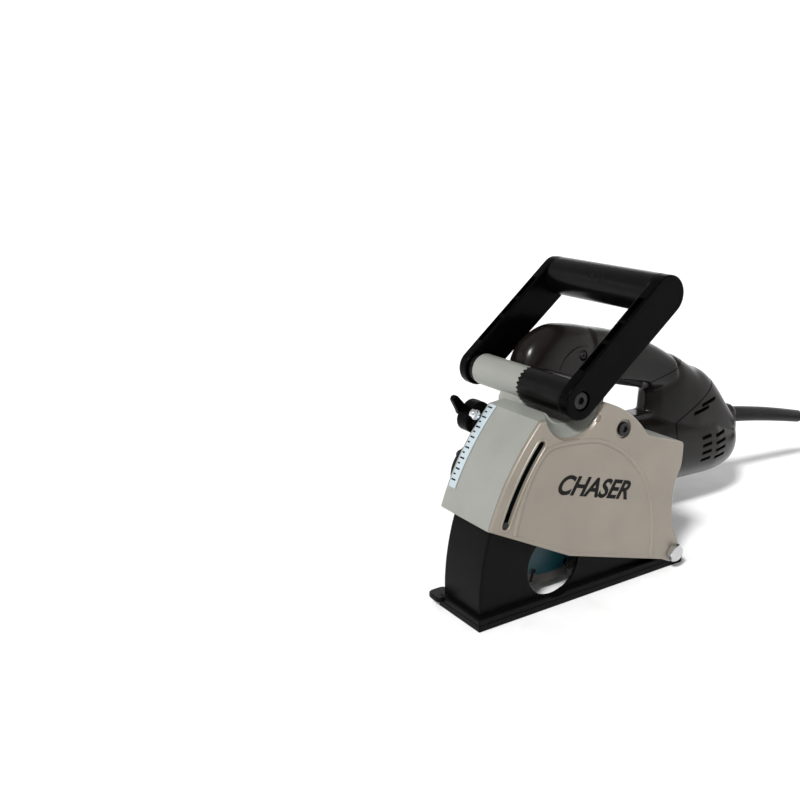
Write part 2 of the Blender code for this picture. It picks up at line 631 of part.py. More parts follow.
TAIL_SEAM = [(176.0, -60.0), (177.0, 8.0), (178.5, 19.0), (185.5, 28.0), (216.0, 51.0), (245.0, 73.0)]
VENT_ROWS = (10.6, 3.7, -3.2, -10.1)


def loft(name, stations, power=2.6):
    return skin(name, [oval(*station, power) for station in stations], MOTOR)


def vents():
    """Four rows of two slanted slots low on the rear cover, and two longer ones under its seam."""
    loops = []
    for w in VENT_ROWS:
        for u, length, lift in ((208.3, 12.4, 1.6), (226.6, 14.8, 2.0)):
            loops.append([(u, w - 1.5), (u + length, w - 1.5 + lift), (u + length, w + 1.5 + lift), (u, w + 1.5)])
    for u, w in ((202.0, 32.5), (210.0, 38.5)):
        loops.append([(u, w), (u + 15.0, w + 4.6), (u + 15.0, w + 7.4), (u, w + 2.8)])
    return plate("vents", loops, (-60, 60), MOTOR)


def make_handle():
    whole = loft("handle_whole", DOME)
    saddle = box("handle_saddle", (60, 172), (-10, 10), (26, 36), MOTOR, None, 1.5)
    collar = drum("cord_collar", "X", 10.8, (250, 279), (0.0, 16.0), MOTOR, sides=28)
    join(whole, loft("handle_bar", BAR), loft("handle_hump", HUMP), loft("handle_tail", TAIL, 2.1), saddle, collar)
    cut(
        whole,
        plate("finger_hole", [FINGER_HOLE], (-60, 60), MOTOR),
        loft("dome_inside", DOME_INSIDE),
        loft("bar_inside", BAR_INSIDE),
        loft("hump_inside", HUMP_INSIDE),
        loft("tail_inside", TAIL_INSIDE, 2.1),
        drum("motor_room", "X", MOTOR_R + 0.6, (10, 152.2), (0, 0), MOTOR, sides=40),
        drum("cord_hole", "X", 9.1, (245, 300), (0.0, 16.6), MOTOR, sides=28),
        box("trigger_slot", (102.5, 152.5), (-9.0, 9.0), (60, 84), MOTOR),
    )
    seam_gap = GAP / 2
    tail = TAIL_SEAM + [(320.0, 70.0), (320.0, -60.0)]
    tail_room = [(u - GAP, w + GAP) for u, w in TAIL_SEAM] + [(320.0, 71.0), (320.0, -60.0)]
    left = copy_of(whole, "handle_left", PLASTIC)
    right = copy_of(whole, "handle_right", PLASTIC)
    rear = copy_of(whole, "rear_cover", PLASTIC)
    rear_zone = plate("tail_room", [tail_room], (-60, 60), MOTOR)
    cut(left, box("right_side", (0, 330), (-seam_gap, 60), (-80, 160), MOTOR), rear_zone)
    cut(right, box("left_side", (0, 330), (-60, seam_gap), (-80, 160), MOTOR), rear_zone)
    keep(rear, plate("tail_zone", [tail], (-60, 60), MOTOR))
    cut(left, drum("lock_off_hole", "Y", 4.5, (-30, -8), (110.0, 96.0), MOTOR, sides=20))
    cut(rear, vents())


def make_controls():
    outline = [(104, 72), (110, 69.5), (127, 65.5), (148, 60.8), (151, 62), (151, 76), (140, 80), (108, 81), (104, 78)]
    plate("trigger", [outline], (-8.4, 8.4), MOTOR, BLACK)
    button = [(0, -20.5), (4.1, -20.5), (4.1, -11), (0, -11)]
    turned("lock_off_button", "Y", button, (110.0, 96.0), MOTOR, PLASTIC, 20)
    box("switch_unit", (118, 146), (-8, 8), (87, 98), MOTOR, BLACK, 1.0)


# ---- front grip ----
def make_front_grip():
    top = (GRIP_TOP[0] - GRIP[0], GRIP_TOP[1] - GRIP[1])
    lean = 38.8
    outline = arc((0, 0), 14.5, lean + 90, lean + 270, 12) + arc(top, 15.5, lean - 90, lean + 90, 12)
    near = plate("grip_near_leg", [outline], (-8.0, 1.5), TILT, BLACK)
    far = plate("grip_far_leg", [outline], (112.0, 121.0), TILT, BLACK)
    for leg, span in ((near, (-12, 4)), (far, (108, 125))):
        cut(leg, drum(leg.name + "_hole", "Y", 4.4, span, (0, 0), TILT, sides=24))
    cut(near, drum("grip_bolt_recess", "Y", 7.0, (-12.0, -2.6), (0, 0), TILT, sides=24))
    bar = drum("grip_bar", "Y", 15.5, (1.8, 111.7), top, TILT, BLACK, sides=36)
    round_edges(bar, 0.6)
    ring("grip_sleeve", "Y", 4.4, 14.0, (1.8, 47.7), (0, 0), TILT, BLACK, 32)
    ring("grip_bush", "Y", 4.4, 12.0, (106.3, 111.7), (0, 0), TILT, BLACK, 28)
    bolt = [
        (0, 126), (4, 126), (4, -2.9), (6.3, -2.9), (6.3, -7.4), (3, -7.4), (3, -4.5), (0, -4.5),
    ]
    turned("grip_bolt", "Y", bolt, (0, 0), TILT, DARK_STEEL, 24)
    hexagon("grip_nut", 13.0, (121.3, 127.5), (0, 0), TILT, STEEL, hole=4.2)


# ---- depth stop ----
def make_depth_stop():
    """A block that slides on an arc along the case, its clamping bolt, and the bolt's lever."""
    bolt_at = front_arc(202.6, 39.6, 50, 1)[0]
    stop = plate("depth_stop", [arc_slot(196.4, 9.3, 38.6, 40.6)], (57.4, 69.7), TOOL, BLACK)
    pointer = plate("stop_pointer", [arc_slot(199.4, 1.2, 37.6, 38.4)], (54.6, 60.0), TOOL)
    stem = drum("stop_stem", "Y", 1.9, (51.5, 63.0), front_arc(190.4, 39.6, 50, 1)[0], TOOL, sides=16)
    join(stop, pointer, stem)
    cut(stop, drum("stop_bolt_hole", "Y", 2.3, (50.0, 75.0), bolt_at, TOOL, sides=16))
    profile = [(0, 52.8), (3.0, 52.8), (4.0, 53.6), (4.0, 57.1), (2.0, 57.1), (2.0, 76.0), (0, 76.0)]
    turned("stop_bolt", "Y", profile, bolt_at, TOOL, STEEL, 24)
    lever = plate("stop_lever", [arc((0, 0), 4.6, 60, 300, 8) + arc((11.0, 0), 3.0, -70, 70, 5)], (70.0, 74.6), TOOL, BLACK)
    lever.matrix_local = Matrix.Translation(mm(bolt_at[0], 0.0, bolt_at[1])) @ Matrix.Rotation(radians(125), 4, "Y").inverted()
    cut(lever, drum("stop_lever_hole", "Y", 2.3, (65.0, 80.0), bolt_at, TOOL, sides=16))


# ---- cord ----
def smooth(points, spacing):
    """Points at an even spacing on a smooth curve through the given points."""
    ends = [points[0] * 2 - points[1]] + points + [points[-1] * 2 - points[-2]]
    fine = []
    for a, b, c, d in zip(ends, ends[1:], ends[2:], ends[3:]):
        for i in range(20):
            t = i / 20
            fine.append(
                0.5 * (2 * b + (c - a) * t + (2 * a - 5 * b + 4 * c - d) * t ** 2 + (3 * b - a - 3 * c + d) * t ** 3)
            )
    fine.append(points[-1])
    total = sum((q - p).length for p, q in zip(fine, fine[1:]))
    count = round(total / spacing)
    result, walked, target = [points[0]], 0.0, total / count
    for p, q in zip(fine, fine[1:]):
        step = (q - p).length
        while walked + step >= target - 1e-6 and len(result) < count:
            result.append(p.lerp(q, (target - walked) / step))
            target += total / count
        walked += step
    return result + [points[-1]]


GUARD = [(350.0, 90.0, 78.3), (372.0, 90.0, 76.1), (410.0, 90.0, 69.5), (444.0, 90.0, 62.4), (474.0, 90.0, 55.5)]
ROUTE = [
    (474.3, 90.0, 55.4), (491.0, 90.0, 51.0), (508.0, 90.3, 45.2), (524.0, 91.0, 37.2), (538.5, 92.2, 27.0),
    (553.0, 94.6, 16.0), (568.5, 98.0, 8.2), (586.0, 102.4, 4.8), (603.0, 105.6, 4.2), (618.0, 106.4, 4.2),
]


def make_cord():
    guard = []
    path = [Vector(point) for point in GUARD]
    for i, centre in enumerate(path):
        way = (path[min(i + 1, len(path) - 1)] - path[max(i - 1, 0)]).normalized()
        side = Vector((0, 1, 0))
        up = way.cross(side) * -1
        radius = 8.0 + (6.0 - 8.0) * i / (len(path) - 1)
        guard.append([centre + side * (radius * a) + up * (radius * b) for a, b in arc((0, 0), 1, 0, 345, 23)])
    skin("cord_guard", guard, TOOL, RUBBER)
    tube("cord", smooth([Vector(point) for point in ROUTE], 18.0), CORD_R, TOOL, RUBBER)
    corners = ((COIL_R + 8.5, 4.7), (COIL_R + 8.5, 20.7), (COIL_R - 8.5, 20.7), (COIL_R - 8.5, 4.7))
    profile = []
    for i, corner in enumerate(corners):
        profile += arc(corner, 4.5, -90 + 90 * i, 90 * i, 3)
    turned("cord_coil", "Z", profile, COIL_AT, TOOL, RUBBER, 40, hollow=True)
    plug = box("plug", (COIL_AT[0] - 32, COIL_AT[0] + 8), (COIL_AT[1] - 13, COIL_AT[1] + 13), (25.5, 41.0), TOOL, RUBBER, 3.0)
    for side in (-9.5, 9.5):
        join(plug, drum(f"plug_pin_{side}", "X", 2.0, (COIL_AT[0] + 5, COIL_AT[0] + 27), (COIL_AT[1] + side, 33.2), TOOL, sides=12))
    join(plug, drum("plug_relief", "X", 4.4, (COIL_AT[0] - 50, COIL_AT[0] - 30), (COIL_AT[1], 31.0), TOOL, sides=20, far_radius=6.0))


make_case()
make_cover()
make_hinge()
make_return_spring()
make_depth_scale()
make_dust_nozzle()
make_base()
make_spindle()
make_wheels()
make_gears()
make_gear_housing()
make_motor()
make_handle()
make_controls()
make_front_grip()
make_depth_stop()
make_cord()
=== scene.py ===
"""Looks for the wall chaser: finished castings, mouldings, wheels, cord and studio."""

from math import cos, pi, radians, sin

import bmesh
import bpy
from mathutils import Matrix, Vector


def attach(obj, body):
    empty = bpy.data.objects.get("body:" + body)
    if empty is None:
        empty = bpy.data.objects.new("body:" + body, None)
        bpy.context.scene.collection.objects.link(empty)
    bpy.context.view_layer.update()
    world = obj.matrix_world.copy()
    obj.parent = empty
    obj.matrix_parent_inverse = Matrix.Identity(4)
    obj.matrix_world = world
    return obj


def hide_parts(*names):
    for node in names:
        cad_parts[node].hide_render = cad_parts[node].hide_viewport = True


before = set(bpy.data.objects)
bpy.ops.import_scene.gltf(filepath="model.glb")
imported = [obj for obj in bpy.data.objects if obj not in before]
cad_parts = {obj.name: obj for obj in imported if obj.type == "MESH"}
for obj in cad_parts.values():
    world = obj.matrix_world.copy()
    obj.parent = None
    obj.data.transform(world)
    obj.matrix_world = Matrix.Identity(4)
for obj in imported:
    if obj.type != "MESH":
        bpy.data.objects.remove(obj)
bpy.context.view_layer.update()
scene = bpy.context.scene

# ---- places, in millimetres from the sole's front left corner: X runs rearward, Y to the right, Z up ----
ORIGIN = Vector((235.17, 59.05, 0.0))
PIVOT, SPINDLE, GRIP = (192.5, 15.0), (85.4, 71.0), (83.6, 161.4)
MOTOR_SIDE, MOTOR_DROOP = 90.0, 2.0
TOOL = Matrix.Translation(-ORIGIN)
MOTOR = TOOL @ Matrix.Translation((SPINDLE[0], MOTOR_SIDE, SPINDLE[1]))
MOTOR = MOTOR @ Matrix.Rotation(radians(MOTOR_DROOP), 4, "Y")
TILT = TOOL @ Matrix.Translation((GRIP[0], 0.0, GRIP[1]))
WHEELS = TOOL @ Matrix.Translation((SPINDLE[0], 0.0, SPINDLE[1]))
METRES = 0.001
MM = Matrix.Scale(METRES, 4)

# ALONG turns a piece made round Z onto another axis. UPRIGHT sets a flat outline, given as the two
# remaining places in alphabetical order, across an axis.
ALONG = {
    "Z": Matrix.Identity(4),
    "Y": Matrix.Rotation(radians(-90), 4, "X"),
    "X": Matrix.Rotation(radians(90), 4, "Y"),
}
UPRIGHT = {
    "Z": Matrix.Identity(4),
    "Y": Matrix(((1, 0, 0, 0), (0, 0, 1, 0), (0, 1, 0, 0), (0, 0, 0, 1))),
    "X": Matrix(((0, 0, 1, 0), (1, 0, 0, 0), (0, 1, 0, 0), (0, 0, 0, 1))),
}


# ---- camera ----
def add_camera():
    camera = bpy.data.cameras.new("camera")
    holder = bpy.data.objects.new("camera", camera)
    scene.collection.objects.link(holder)
    right = Vector((0.8463, -0.5325, -0.0167))
    up = Vector((0.1617, 0.2268, 0.9604))
    back = Vector((-0.5076, -0.8155, 0.2781))
    spot = (Vector((-384.04, -505.20, 361.25)) - ORIGIN) * METRES
    rows = [(*row, place) for row, place in zip(zip(right, up, back), spot)]
    holder.matrix_world = Matrix(rows + [(0, 0, 0, 1)])
    camera.sensor_width = 36.0
    camera.lens = 44.25
    camera.shift_x = 0.0089
    camera.shift_y = -0.0044
    camera.clip_start = 0.01
    scene.camera = holder


add_camera()


# ---- materials ----
COAT_ROUGHNESS = 0.15
MOTTLE_SCALE = 35.0
LEAST_SPREAD = 0.10
GRAIN_HEIGHT = 0.0002


def surface(name, color, roughness, metallic=0.0, grain=0.0, grain_size=0.4, speckle=0.0, coat=0.0,
            rough_vary=0.06, shine=0.5):
    """A painted, moulded or machined surface: fine grain in its relief, gentle mottling in colour and gloss.

    grain is the strength of the relief and grain_size its size in millimetres. speckle is how much the
    grain also shows in the colour, rough_vary how far the roughness strays, and shine the specular level.
    """
    mat = bpy.data.materials.new(name)
    mat.use_nodes = True
    tree = mat.node_tree
    link = tree.links.new
    shader = tree.nodes["Principled BSDF"]
    shader.inputs["Metallic"].default_value = metallic
    shader.inputs["Coat Weight"].default_value = coat
    shader.inputs["Specular IOR Level"].default_value = shine
    shader.inputs["Coat Roughness"].default_value = COAT_ROUGHNESS
    place = tree.nodes.new("ShaderNodeTexCoord")
    wide = tree.nodes.new("ShaderNodeTexNoise")
    wide.inputs["Scale"].default_value = MOTTLE_SCALE
    wide.inputs["Detail"].default_value = 5.0
    link(place.outputs["Object"], wide.inputs["Vector"])
    fine = tree.nodes.new("ShaderNodeTexNoise")
    fine.inputs["Scale"].default_value = 1000.0 / grain_size
    fine.inputs["Detail"].default_value = 2.0
    link(place.outputs["Object"], fine.inputs["Vector"])
    tint = tree.nodes.new("ShaderNodeMix")
    tint.data_type = "RGBA"
    spread = LEAST_SPREAD + speckle
    tint.inputs[6].default_value = (*[c * (1 - spread) for c in color], 1.0)
    tint.inputs[7].default_value = (*[min(1.0, c * (1 + spread)) for c in color], 1.0)
    blend = tree.nodes.new("ShaderNodeMath")
    blend.operation = "MULTIPLY_ADD"
    blend.inputs[1].default_value = speckle * 2.0
    link(fine.outputs["Fac"], blend.inputs[0])
    link(wide.outputs["Fac"], blend.inputs[2])
    link(blend.outputs[0], tint.inputs[0])
    link(tint.outputs[2], shader.inputs["Base Color"])
    gloss = tree.nodes.new("ShaderNodeMapRange")
    gloss.inputs["To Min"].default_value = max(0.02, roughness - rough_vary)
    gloss.inputs["To Max"].default_value = min(1.0, roughness + rough_vary)
    link(wide.outputs["Fac"], gloss.inputs["Value"])
    link(gloss.outputs["Result"], shader.inputs["Roughness"])
    if grain:
        bump = tree.nodes.new("ShaderNodeBump")
        bump.inputs["Strength"].default_value = grain
        bump.inputs["Distance"].default_value = GRAIN_HEIGHT
        link(fine.outputs["Fac"], bump.inputs["Height"])
        link(bump.outputs["Normal"], shader.inputs["Normal"])
    return mat


def grey(level):
    return (level, level, level)


SILVER = surface("silver_paint", (0.228, 0.200, 0.163), 0.36, metallic=0.25, grain=0.08, grain_size=0.35,
                 speckle=0.05, coat=0.2)
CASTING = surface("silver_casting", (0.252, 0.258, 0.234), 0.42, metallic=0.25, grain=0.25, grain_size=0.9,
                  speckle=0.06, coat=0.1)
BLACK = surface("black_paint", grey(0.0009), 0.24, grain=0.04, grain_size=0.5, rough_vary=0.04, shine=0.04)
DULL_BLACK = surface("black_casting", grey(0.0042), 0.42, grain=0.3, grain_size=0.9, speckle=0.1,
                     rough_vary=0.05, shine=0.15)
BASE_BLACK = surface("black_steel_paint", (0.0026, 0.0024, 0.0024), 0.34, grain=0.05, rough_vary=0.05,
                     shine=0.06)
PLASTIC = surface("dark_plastic", (0.0062, 0.0048, 0.0042), 0.25, grain=0.15, grain_size=0.55, speckle=0.05,
                  rough_vary=0.04, shine=0.22)
GRIPPY = surface("black_plastic", grey(0.0020), 0.26, grain=0.04, grain_size=0.5, rough_vary=0.05, shine=0.12)
RUBBER = surface("black_rubber", grey(0.0040), 0.42, grain=0.2, grain_size=0.7, rough_vary=0.05, shine=0.12)
STEEL = surface("steel", (0.56, 0.56, 0.57), 0.27, metallic=1.0, grain=0.06, grain_size=0.3)
CHROME = surface("chrome", (0.82, 0.83, 0.85), 0.10, metallic=1.0, grain_size=0.3, rough_vary=0.03)
DARK_STEEL = surface("dark_steel", (0.035, 0.035, 0.036), 0.36, metallic=1.0, grain=0.1)
IRON = surface("lamination", (0.22, 0.21, 0.20), 0.5, metallic=0.8, grain=0.2, grain_size=0.5, speckle=0.1)
COPPER = surface("copper", (0.72, 0.36, 0.20), 0.32, metallic=1.0, grain=0.1)
CARBON = surface("carbon", (0.03, 0.03, 0.032), 0.6, grain=0.3, speckle=0.2)
# The wheels' teal, painted darker than the discs' own teal: painted shade for where they sit inside the base.
TEAL_WITH_PAINTED_SHADE = surface("teal_paint", (0.004, 0.055, 0.07), 0.42, grain=0.08)
GRIT = surface("diamond_segment", (0.07, 0.065, 0.06), 0.7, metallic=0.4, grain=1.0, grain_size=0.6,
               speckle=0.4)
WHITE = surface("white_label", (0.37, 0.43, 0.46), 0.35, grain_size=0.5)
INK = surface("ink", grey(0.004), 0.5, grain_size=0.5, rough_vary=0.05, shine=0.1)


# ---- shapes, in millimetres ----
def made(name, bm, place, mat=None):
    bmesh.ops.recalc_face_normals(bm, faces=bm.faces)
    bmesh.ops.transform(bm, matrix=MM @ place, verts=bm.verts)
    mesh = bpy.data.meshes.new(name)
    bm.to_mesh(mesh)
    bm.free()
    if mat:
        mesh.materials.append(mat)
    return linked(name, mesh)


def linked(name, mesh):
    obj = bpy.data.objects.new(name, mesh)
    scene.collection.objects.link(obj)
    return obj


def bevel(bm, edges, width, segments=3):
    bmesh.ops.bevel(
        bm, geom=edges, offset=width, segments=segments, profile=0.5, affect="EDGES", clamp_overlap=True
    )


def arc(centre, radius, start, end, count):
    turns = [radians(start + (end - start) * i / count) for i in range(count + 1)]
    return [(centre[0] + radius * cos(turn), centre[1] + radius * sin(turn)) for turn in turns]


def front_arc(radius, low, high, count=40):
    """Points on an arc about the base hinge, by their angle above the horizon in front of it."""
    return arc(PIVOT, radius, 180 - low, 180 - high, count)


def arc_slot(radius, half, low, high, count=24):
    """A slot with round ends on such an arc. half is half its width."""
    ends = front_arc(radius, low, high, 1)
    top_end = arc(ends[1], half, 180 - high, -high, 10)
    low_end = arc(ends[0], half, -low, -180 - low, 10)
    return (
        front_arc(radius + half, low, high, count)[:-1] + top_end
        + front_arc(radius - half, high, low, count)[1:-1] + low_end[:-1]
    )


def eased(points, cuts, steps=5):
    """A closed outline with some corners rounded. cuts maps a point's index to its rounding."""
    result = []
    count = len(points)
    for i, point in enumerate(points):
        if i not in cuts:
            result.append(point)
            continue
        here, before, after = Vector(point), Vector(points[i - 1]), Vector(points[(i + 1) % count])
        a = here + (before - here).normalized() * cuts[i]
        b = here + (after - here).normalized() * cuts[i]
        for k in range(steps + 1):
            t = k / steps
            result.append(tuple(a * (1 - t) ** 2 + here * 2 * t * (1 - t) + b * t ** 2))
    return result


def prism(name, outline, span, place, mat=None, axis="Y", low=0.0, high=0.0, segments=4):
    """A flat piece across an axis. low and high round the rims at the two ends of its span."""
    bm = bmesh.new()
    matrix = UPRIGHT[axis]
    near = [bm.verts.new(matrix @ Vector((a, b, span[0]))) for a, b in outline]
    far = [bm.verts.new(matrix @ Vector((a, b, span[1]))) for a, b in outline]
    bm.faces.new(near)
    bm.faces.new(list(reversed(far)))
    for i in range(len(near)):
        j = (i + 1) % len(near)
        bm.faces.new((near[i], far[i], far[j], near[j]))
    bmesh.ops.recalc_face_normals(bm, faces=bm.faces)
    across = "XYZ".index(axis)
    for width, level in ((low, span[0]), (high, span[1])):
        if width:
            cap = [f for f in bm.faces if all(abs(v.co[across] - level) < 1e-4 for v in f.verts)]
            bevel(bm, [e for e in bm.edges if any(f in cap for f in e.link_faces)], width, segments)
    return made(name, bm, place, mat)


def box(name, x, y, z, place, mat=None, ease=0.0):
    bm = bmesh.new()
    size = (x[1] - x[0], y[1] - y[0], z[1] - z[0])
    centre = ((x[0] + x[1]) / 2, (y[0] + y[1]) / 2, (z[0] + z[1]) / 2)
    bmesh.ops.create_cube(bm, size=1.0, matrix=Matrix.Translation(centre) @ Matrix.Diagonal((*size, 1.0)))
    if ease:
        bevel(bm, list(bm.edges), ease)
    return made(name, bm, place, mat)


SHARP = 25


def turned(name, axis, profile, centre, place, mat=None, steps=72, hollow=False, ease=0.0):
    """A turned piece. profile is (radius, place along the axis), and a hollow one's is a closed loop."""
    bm = bmesh.new()
    turns = [2 * pi * i / steps for i in range(steps)]
    rows = [[bm.verts.new((radius * cos(turn), radius * sin(turn), along)) for turn in turns]
            for radius, along in profile]
    pairs = list(zip(rows, rows[1:]))
    if hollow:
        pairs.append((rows[-1], rows[0]))
    for low, high in pairs:
        for i in range(steps):
            j = (i + 1) % steps
            bm.faces.new((low[i], low[j], high[j], high[i]))
    bmesh.ops.remove_doubles(bm, verts=bm.verts, dist=0.001)
    bmesh.ops.recalc_face_normals(bm, faces=bm.faces)
    if ease:
        bevel(bm, [e for e in bm.edges if e.is_manifold and e.calc_face_angle() > radians(SHARP)], ease)
    middle = UPRIGHT[axis] @ Vector((*centre, 0.0))
    bmesh.ops.transform(bm, matrix=Matrix.Translation(middle) @ ALONG[axis], verts=bm.verts)
    return made(name, bm, place, mat)


def drum(name, axis, radius, span, centre, place, mat=None, steps=64, far_radius=None, ease=0.0):
    """A solid round piece along an axis, or a cone where far_radius says so."""
    end = radius if far_radius is None else far_radius
    profile = [(0, span[0]), (radius, span[0]), (end, span[1]), (0, span[1])]
    return turned(name, axis, profile, centre, place, mat, steps, ease=ease)


def skin(name, rings, place, mat=None, closed=False):
    """A surface over rings of points, capped at both ends unless the last ring meets the first."""
    bm = bmesh.new()
    rows = [[bm.verts.new(point) for point in ring] for ring in rings]
    pairs = list(zip(rows, rows[1:]))
    if closed:
        pairs.append((rows[-1], rows[0]))
    else:
        bm.faces.new(rows[0])
        bm.faces.new(rows[-1])
    for low, high in pairs:
        for i in range(len(low)):
            j = (i + 1) % len(low)
            bm.faces.new((low[i], low[j], high[j], high[i]))
    return made(name, bm, place, mat)


def spline(points, steps):
    """Points on a smooth curve through the given tuples, steps to each stretch."""
    rows = [Vector(p) for p in points]
    ends = [rows[0] * 2 - rows[1]] + rows + [rows[-1] * 2 - rows[-2]]
    result = []
    for a, b, c, d in zip(ends, ends[1:], ends[2:], ends[3:]):
        for i in range(steps):
            t = i / steps
            square = 2 * a - 5 * b + 4 * c - d
            cube = 3 * b - a - 3 * c + d
            result.append(0.5 * (2 * b + (c - a) * t + square * t * t + cube * t ** 3))
    result.append(rows[-1])
    return result


def sweep(name, path, radii, place, mat=None, sides=20):
    """A round bar along a path. radii is one radius, or one for each point."""
    path = [Vector(p) for p in path]
    rings = []
    side = None
    for i, centre in enumerate(path):
        way = (path[min(i + 1, len(path) - 1)] - path[max(i - 1, 0)]).normalized()
        if side is None:
            side = way.orthogonal() if abs(way.y) > 0.9 else way.cross(Vector((0, 1, 0)))
            side = side.normalized()
        side = (side - way * side.dot(way)).normalized()
        other = way.cross(side)
        radius = radii[i] if isinstance(radii, (list, tuple)) else radii
        turns = [2 * pi * k / sides for k in range(sides)]
        rings.append([centre + side * (radius * cos(turn)) + other * (radius * sin(turn)) for turn in turns])
    return skin(name, rings, place, mat)


def settle(obj):
    """Turns a piece's modifiers into its mesh."""
    bpy.context.view_layer.update()
    mesh = bpy.data.meshes.new_from_object(obj.evaluated_get(bpy.context.evaluated_depsgraph_get()))
    obj.modifiers.clear()
    obj.data = mesh
    return obj


def combine(obj, others, operation):
    """Cuts, joins or intersects a piece with others, which are used up."""
    for other in others:
        step = obj.modifiers.new(other.name, "BOOLEAN")
        step.operation = operation
        step.solver = "MANIFOLD"
        step.object = other
        settle(obj)
        bpy.data.objects.remove(other, do_unlink=True)
    return obj


def cut(obj, *others):
    return combine(obj, others, "DIFFERENCE")


def join(obj, *others):
    return combine(obj, others, "UNION")


def gather(name, pieces):
    """Several loose shells as one piece."""
    bm = bmesh.new()
    for piece in pieces:
        bm.from_mesh(piece.data)
    mesh = bpy.data.meshes.new(name)
    bm.to_mesh(mesh)
    bm.free()
    mesh.materials.append(pieces[0].data.materials[0])
    for piece in pieces:
        bpy.data.objects.remove(piece, do_unlink=True)
    return linked(name, mesh)


def smooth(obj, angle=32.0):
    mesh = obj.data
    mesh.polygons.foreach_set("use_smooth", [True] * len(mesh.polygons))
    mesh.set_sharp_from_angle(angle=radians(angle))
    weighted = obj.modifiers.new("normals", "WEIGHTED_NORMAL")
    weighted.keep_sharp = True
    return obj


def remeshed(obj, voxel, passes):
    """Blends a joined shape's seams: even voxels, then some smoothing."""
    step = obj.modifiers.new("voxels", "REMESH")
    step.mode = "VOXEL"
    step.voxel_size = voxel * METRES
    settle(obj)
    step = obj.modifiers.new("ease", "SMOOTH")
    step.factor = 0.5
    step.iterations = passes
    return settle(obj)


def done(obj, body, slot, *nodes, angle=32.0, mat=None):
    """Finishes a piece: its shading, the body it rides on, and the CAD nodes it stands for."""
    mat = mat or next(m for m in obj.data.materials if m)
    obj.data.materials.clear()
    obj.data.materials.append(mat)
    obj.data.polygons.foreach_set("material_index", [0] * len(obj.data.polygons))
    smooth(obj, angle)
    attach(obj, body)
    if nodes:
        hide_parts(*nodes)
    return obj


# ---- cord ----
CORD_RADIUS = 4.0
ROUTE = [
    (474.3, 90.0, 55.4), (491.0, 90.0, 51.0), (508.0, 90.3, 45.2), (524.0, 91.0, 37.2), (538.5, 92.2, 27.0),
    (553.0, 94.6, 16.0), (568.5, 98.0, 8.2), (586.0, 102.4, 4.8), (603.0, 105.6, 4.2), (618.0, 106.4, 4.2),
]
COIL_AT = (622.0, 46.0)
COIL_RADII = (51.0, 42.5, 34.0)
COIL_LAYERS, FIRST_HEIGHT, LAYER_RISE = 3, 4.2, 8.3
LAPS, POINTS_A_LAP = 8.6, 40
LANDING_RADIUS, LANDING_POINTS = 60.3, 7
FIRST_TURN = 86.0
SHIFT_FROM = 0.72


def cord_path():
    """The run to the floor, then turns that lie side by side in three layers."""
    points = [Vector(p) for p in spline(ROUTE, 3)]
    rows = []
    for layer in range(COIL_LAYERS):
        radii = COIL_RADII if layer % 2 == 0 else COIL_RADII[::-1]
        rows += [(radius, FIRST_HEIGHT + LAYER_RISE * layer) for radius in radii]
    for i in range(1, int(POINTS_A_LAP * LAPS) + 1):
        lap = i / POINTS_A_LAP
        row = min(int(lap), len(rows) - 1)
        here = Vector(rows[row])
        after = Vector(rows[min(row + 1, len(rows) - 1)])
        shift = max(0.0, (lap - int(lap) - SHIFT_FROM) / (1 - SHIFT_FROM))
        shift = shift * shift * (3 - 2 * shift)
        radius, height = here.lerp(after, shift)
        if i < LANDING_POINTS:
            radius = LANDING_RADIUS + (radius - LANDING_RADIUS) * (i / LANDING_POINTS) ** 1.5
        turn = radians(FIRST_TURN - 360.0 * lap)
        points.append(Vector((COIL_AT[0] + radius * cos(turn), COIL_AT[1] + radius * sin(turn), height)))
    return points


def add_cord():
    """The cord, and its plug lying on the coil."""
    path = cord_path()
    cable = sweep("cord_whole", path, CORD_RADIUS, TOOL, RUBBER, 16)
    done(cable, "tool", "black_rubber", "cord", "cord_coil")
    x, y = COIL_AT
    middle = (y, 31.0)
    plug = box("plug_grip", (x - 32, x + 8), (y - 13, y + 13), (25.6, 41.0), TOOL, RUBBER, 3.0)
    relief = drum("plug_relief", "X", 4.6, (x - 50, x - 31), middle, TOOL, RUBBER, 32, 6.2, 0.6)
    ribs = []
    for i in range(3):
        span = (x - 47 + 5 * i, x - 44.5 + 5 * i)
        ribs.append(drum(f"plug_rib_{i}", "X", 6.6, span, middle, TOOL, RUBBER, 32, None, 0.5))
    plug = gather("plug_body", [plug, relief] + ribs)
    done(plug, "tool", "black_rubber", "plug")
    pins = [drum(f"pin_{side}", "X", 2.0, (x + 6, x + 27), (y + side, 33.2), TOOL, STEEL, 24, None, 0.6)
            for side in (-9.5, 9.5)]
    pins = gather("plug_pins", pins)
    done(pins, "tool", "steel")


add_cord()


# ---- blade case and cover ----
COVER_BOLT = (130.5, 131.0)
SCOOP = (81.0, 159.5)
STOP_SLOT_RADIUS = 190.4
DUST_WAY = (38.0, 56.0)
PIN_SLOT = (20.6, 39.9)
PIN_SLOT_RADIUS = 184.6


def case_outline(bottom):
    front = front_arc(196.8, 18.8, 43.6)
    dip = [(56.0, 151.3), (64.5, 151.9)] + arc(GRIP, 20.5, 212, 318, 24)
    crown = arc(SPINDLE, 87.5, 74, 34.5, 32)
    rear = [(196.0, 108.0), (197.5, 104.0), (196.2, 88.0), (190.5, 75.0), (188.6, 60.0), (189.8, 40.0)]
    rear = [tuple(p) for p in spline(rear, 5)]
    ear = arc(PIVOT, 8.7, 15, -120, 16)
    return front + dip + crown + rear + [(196.0, 26.0)] + ear + bottom


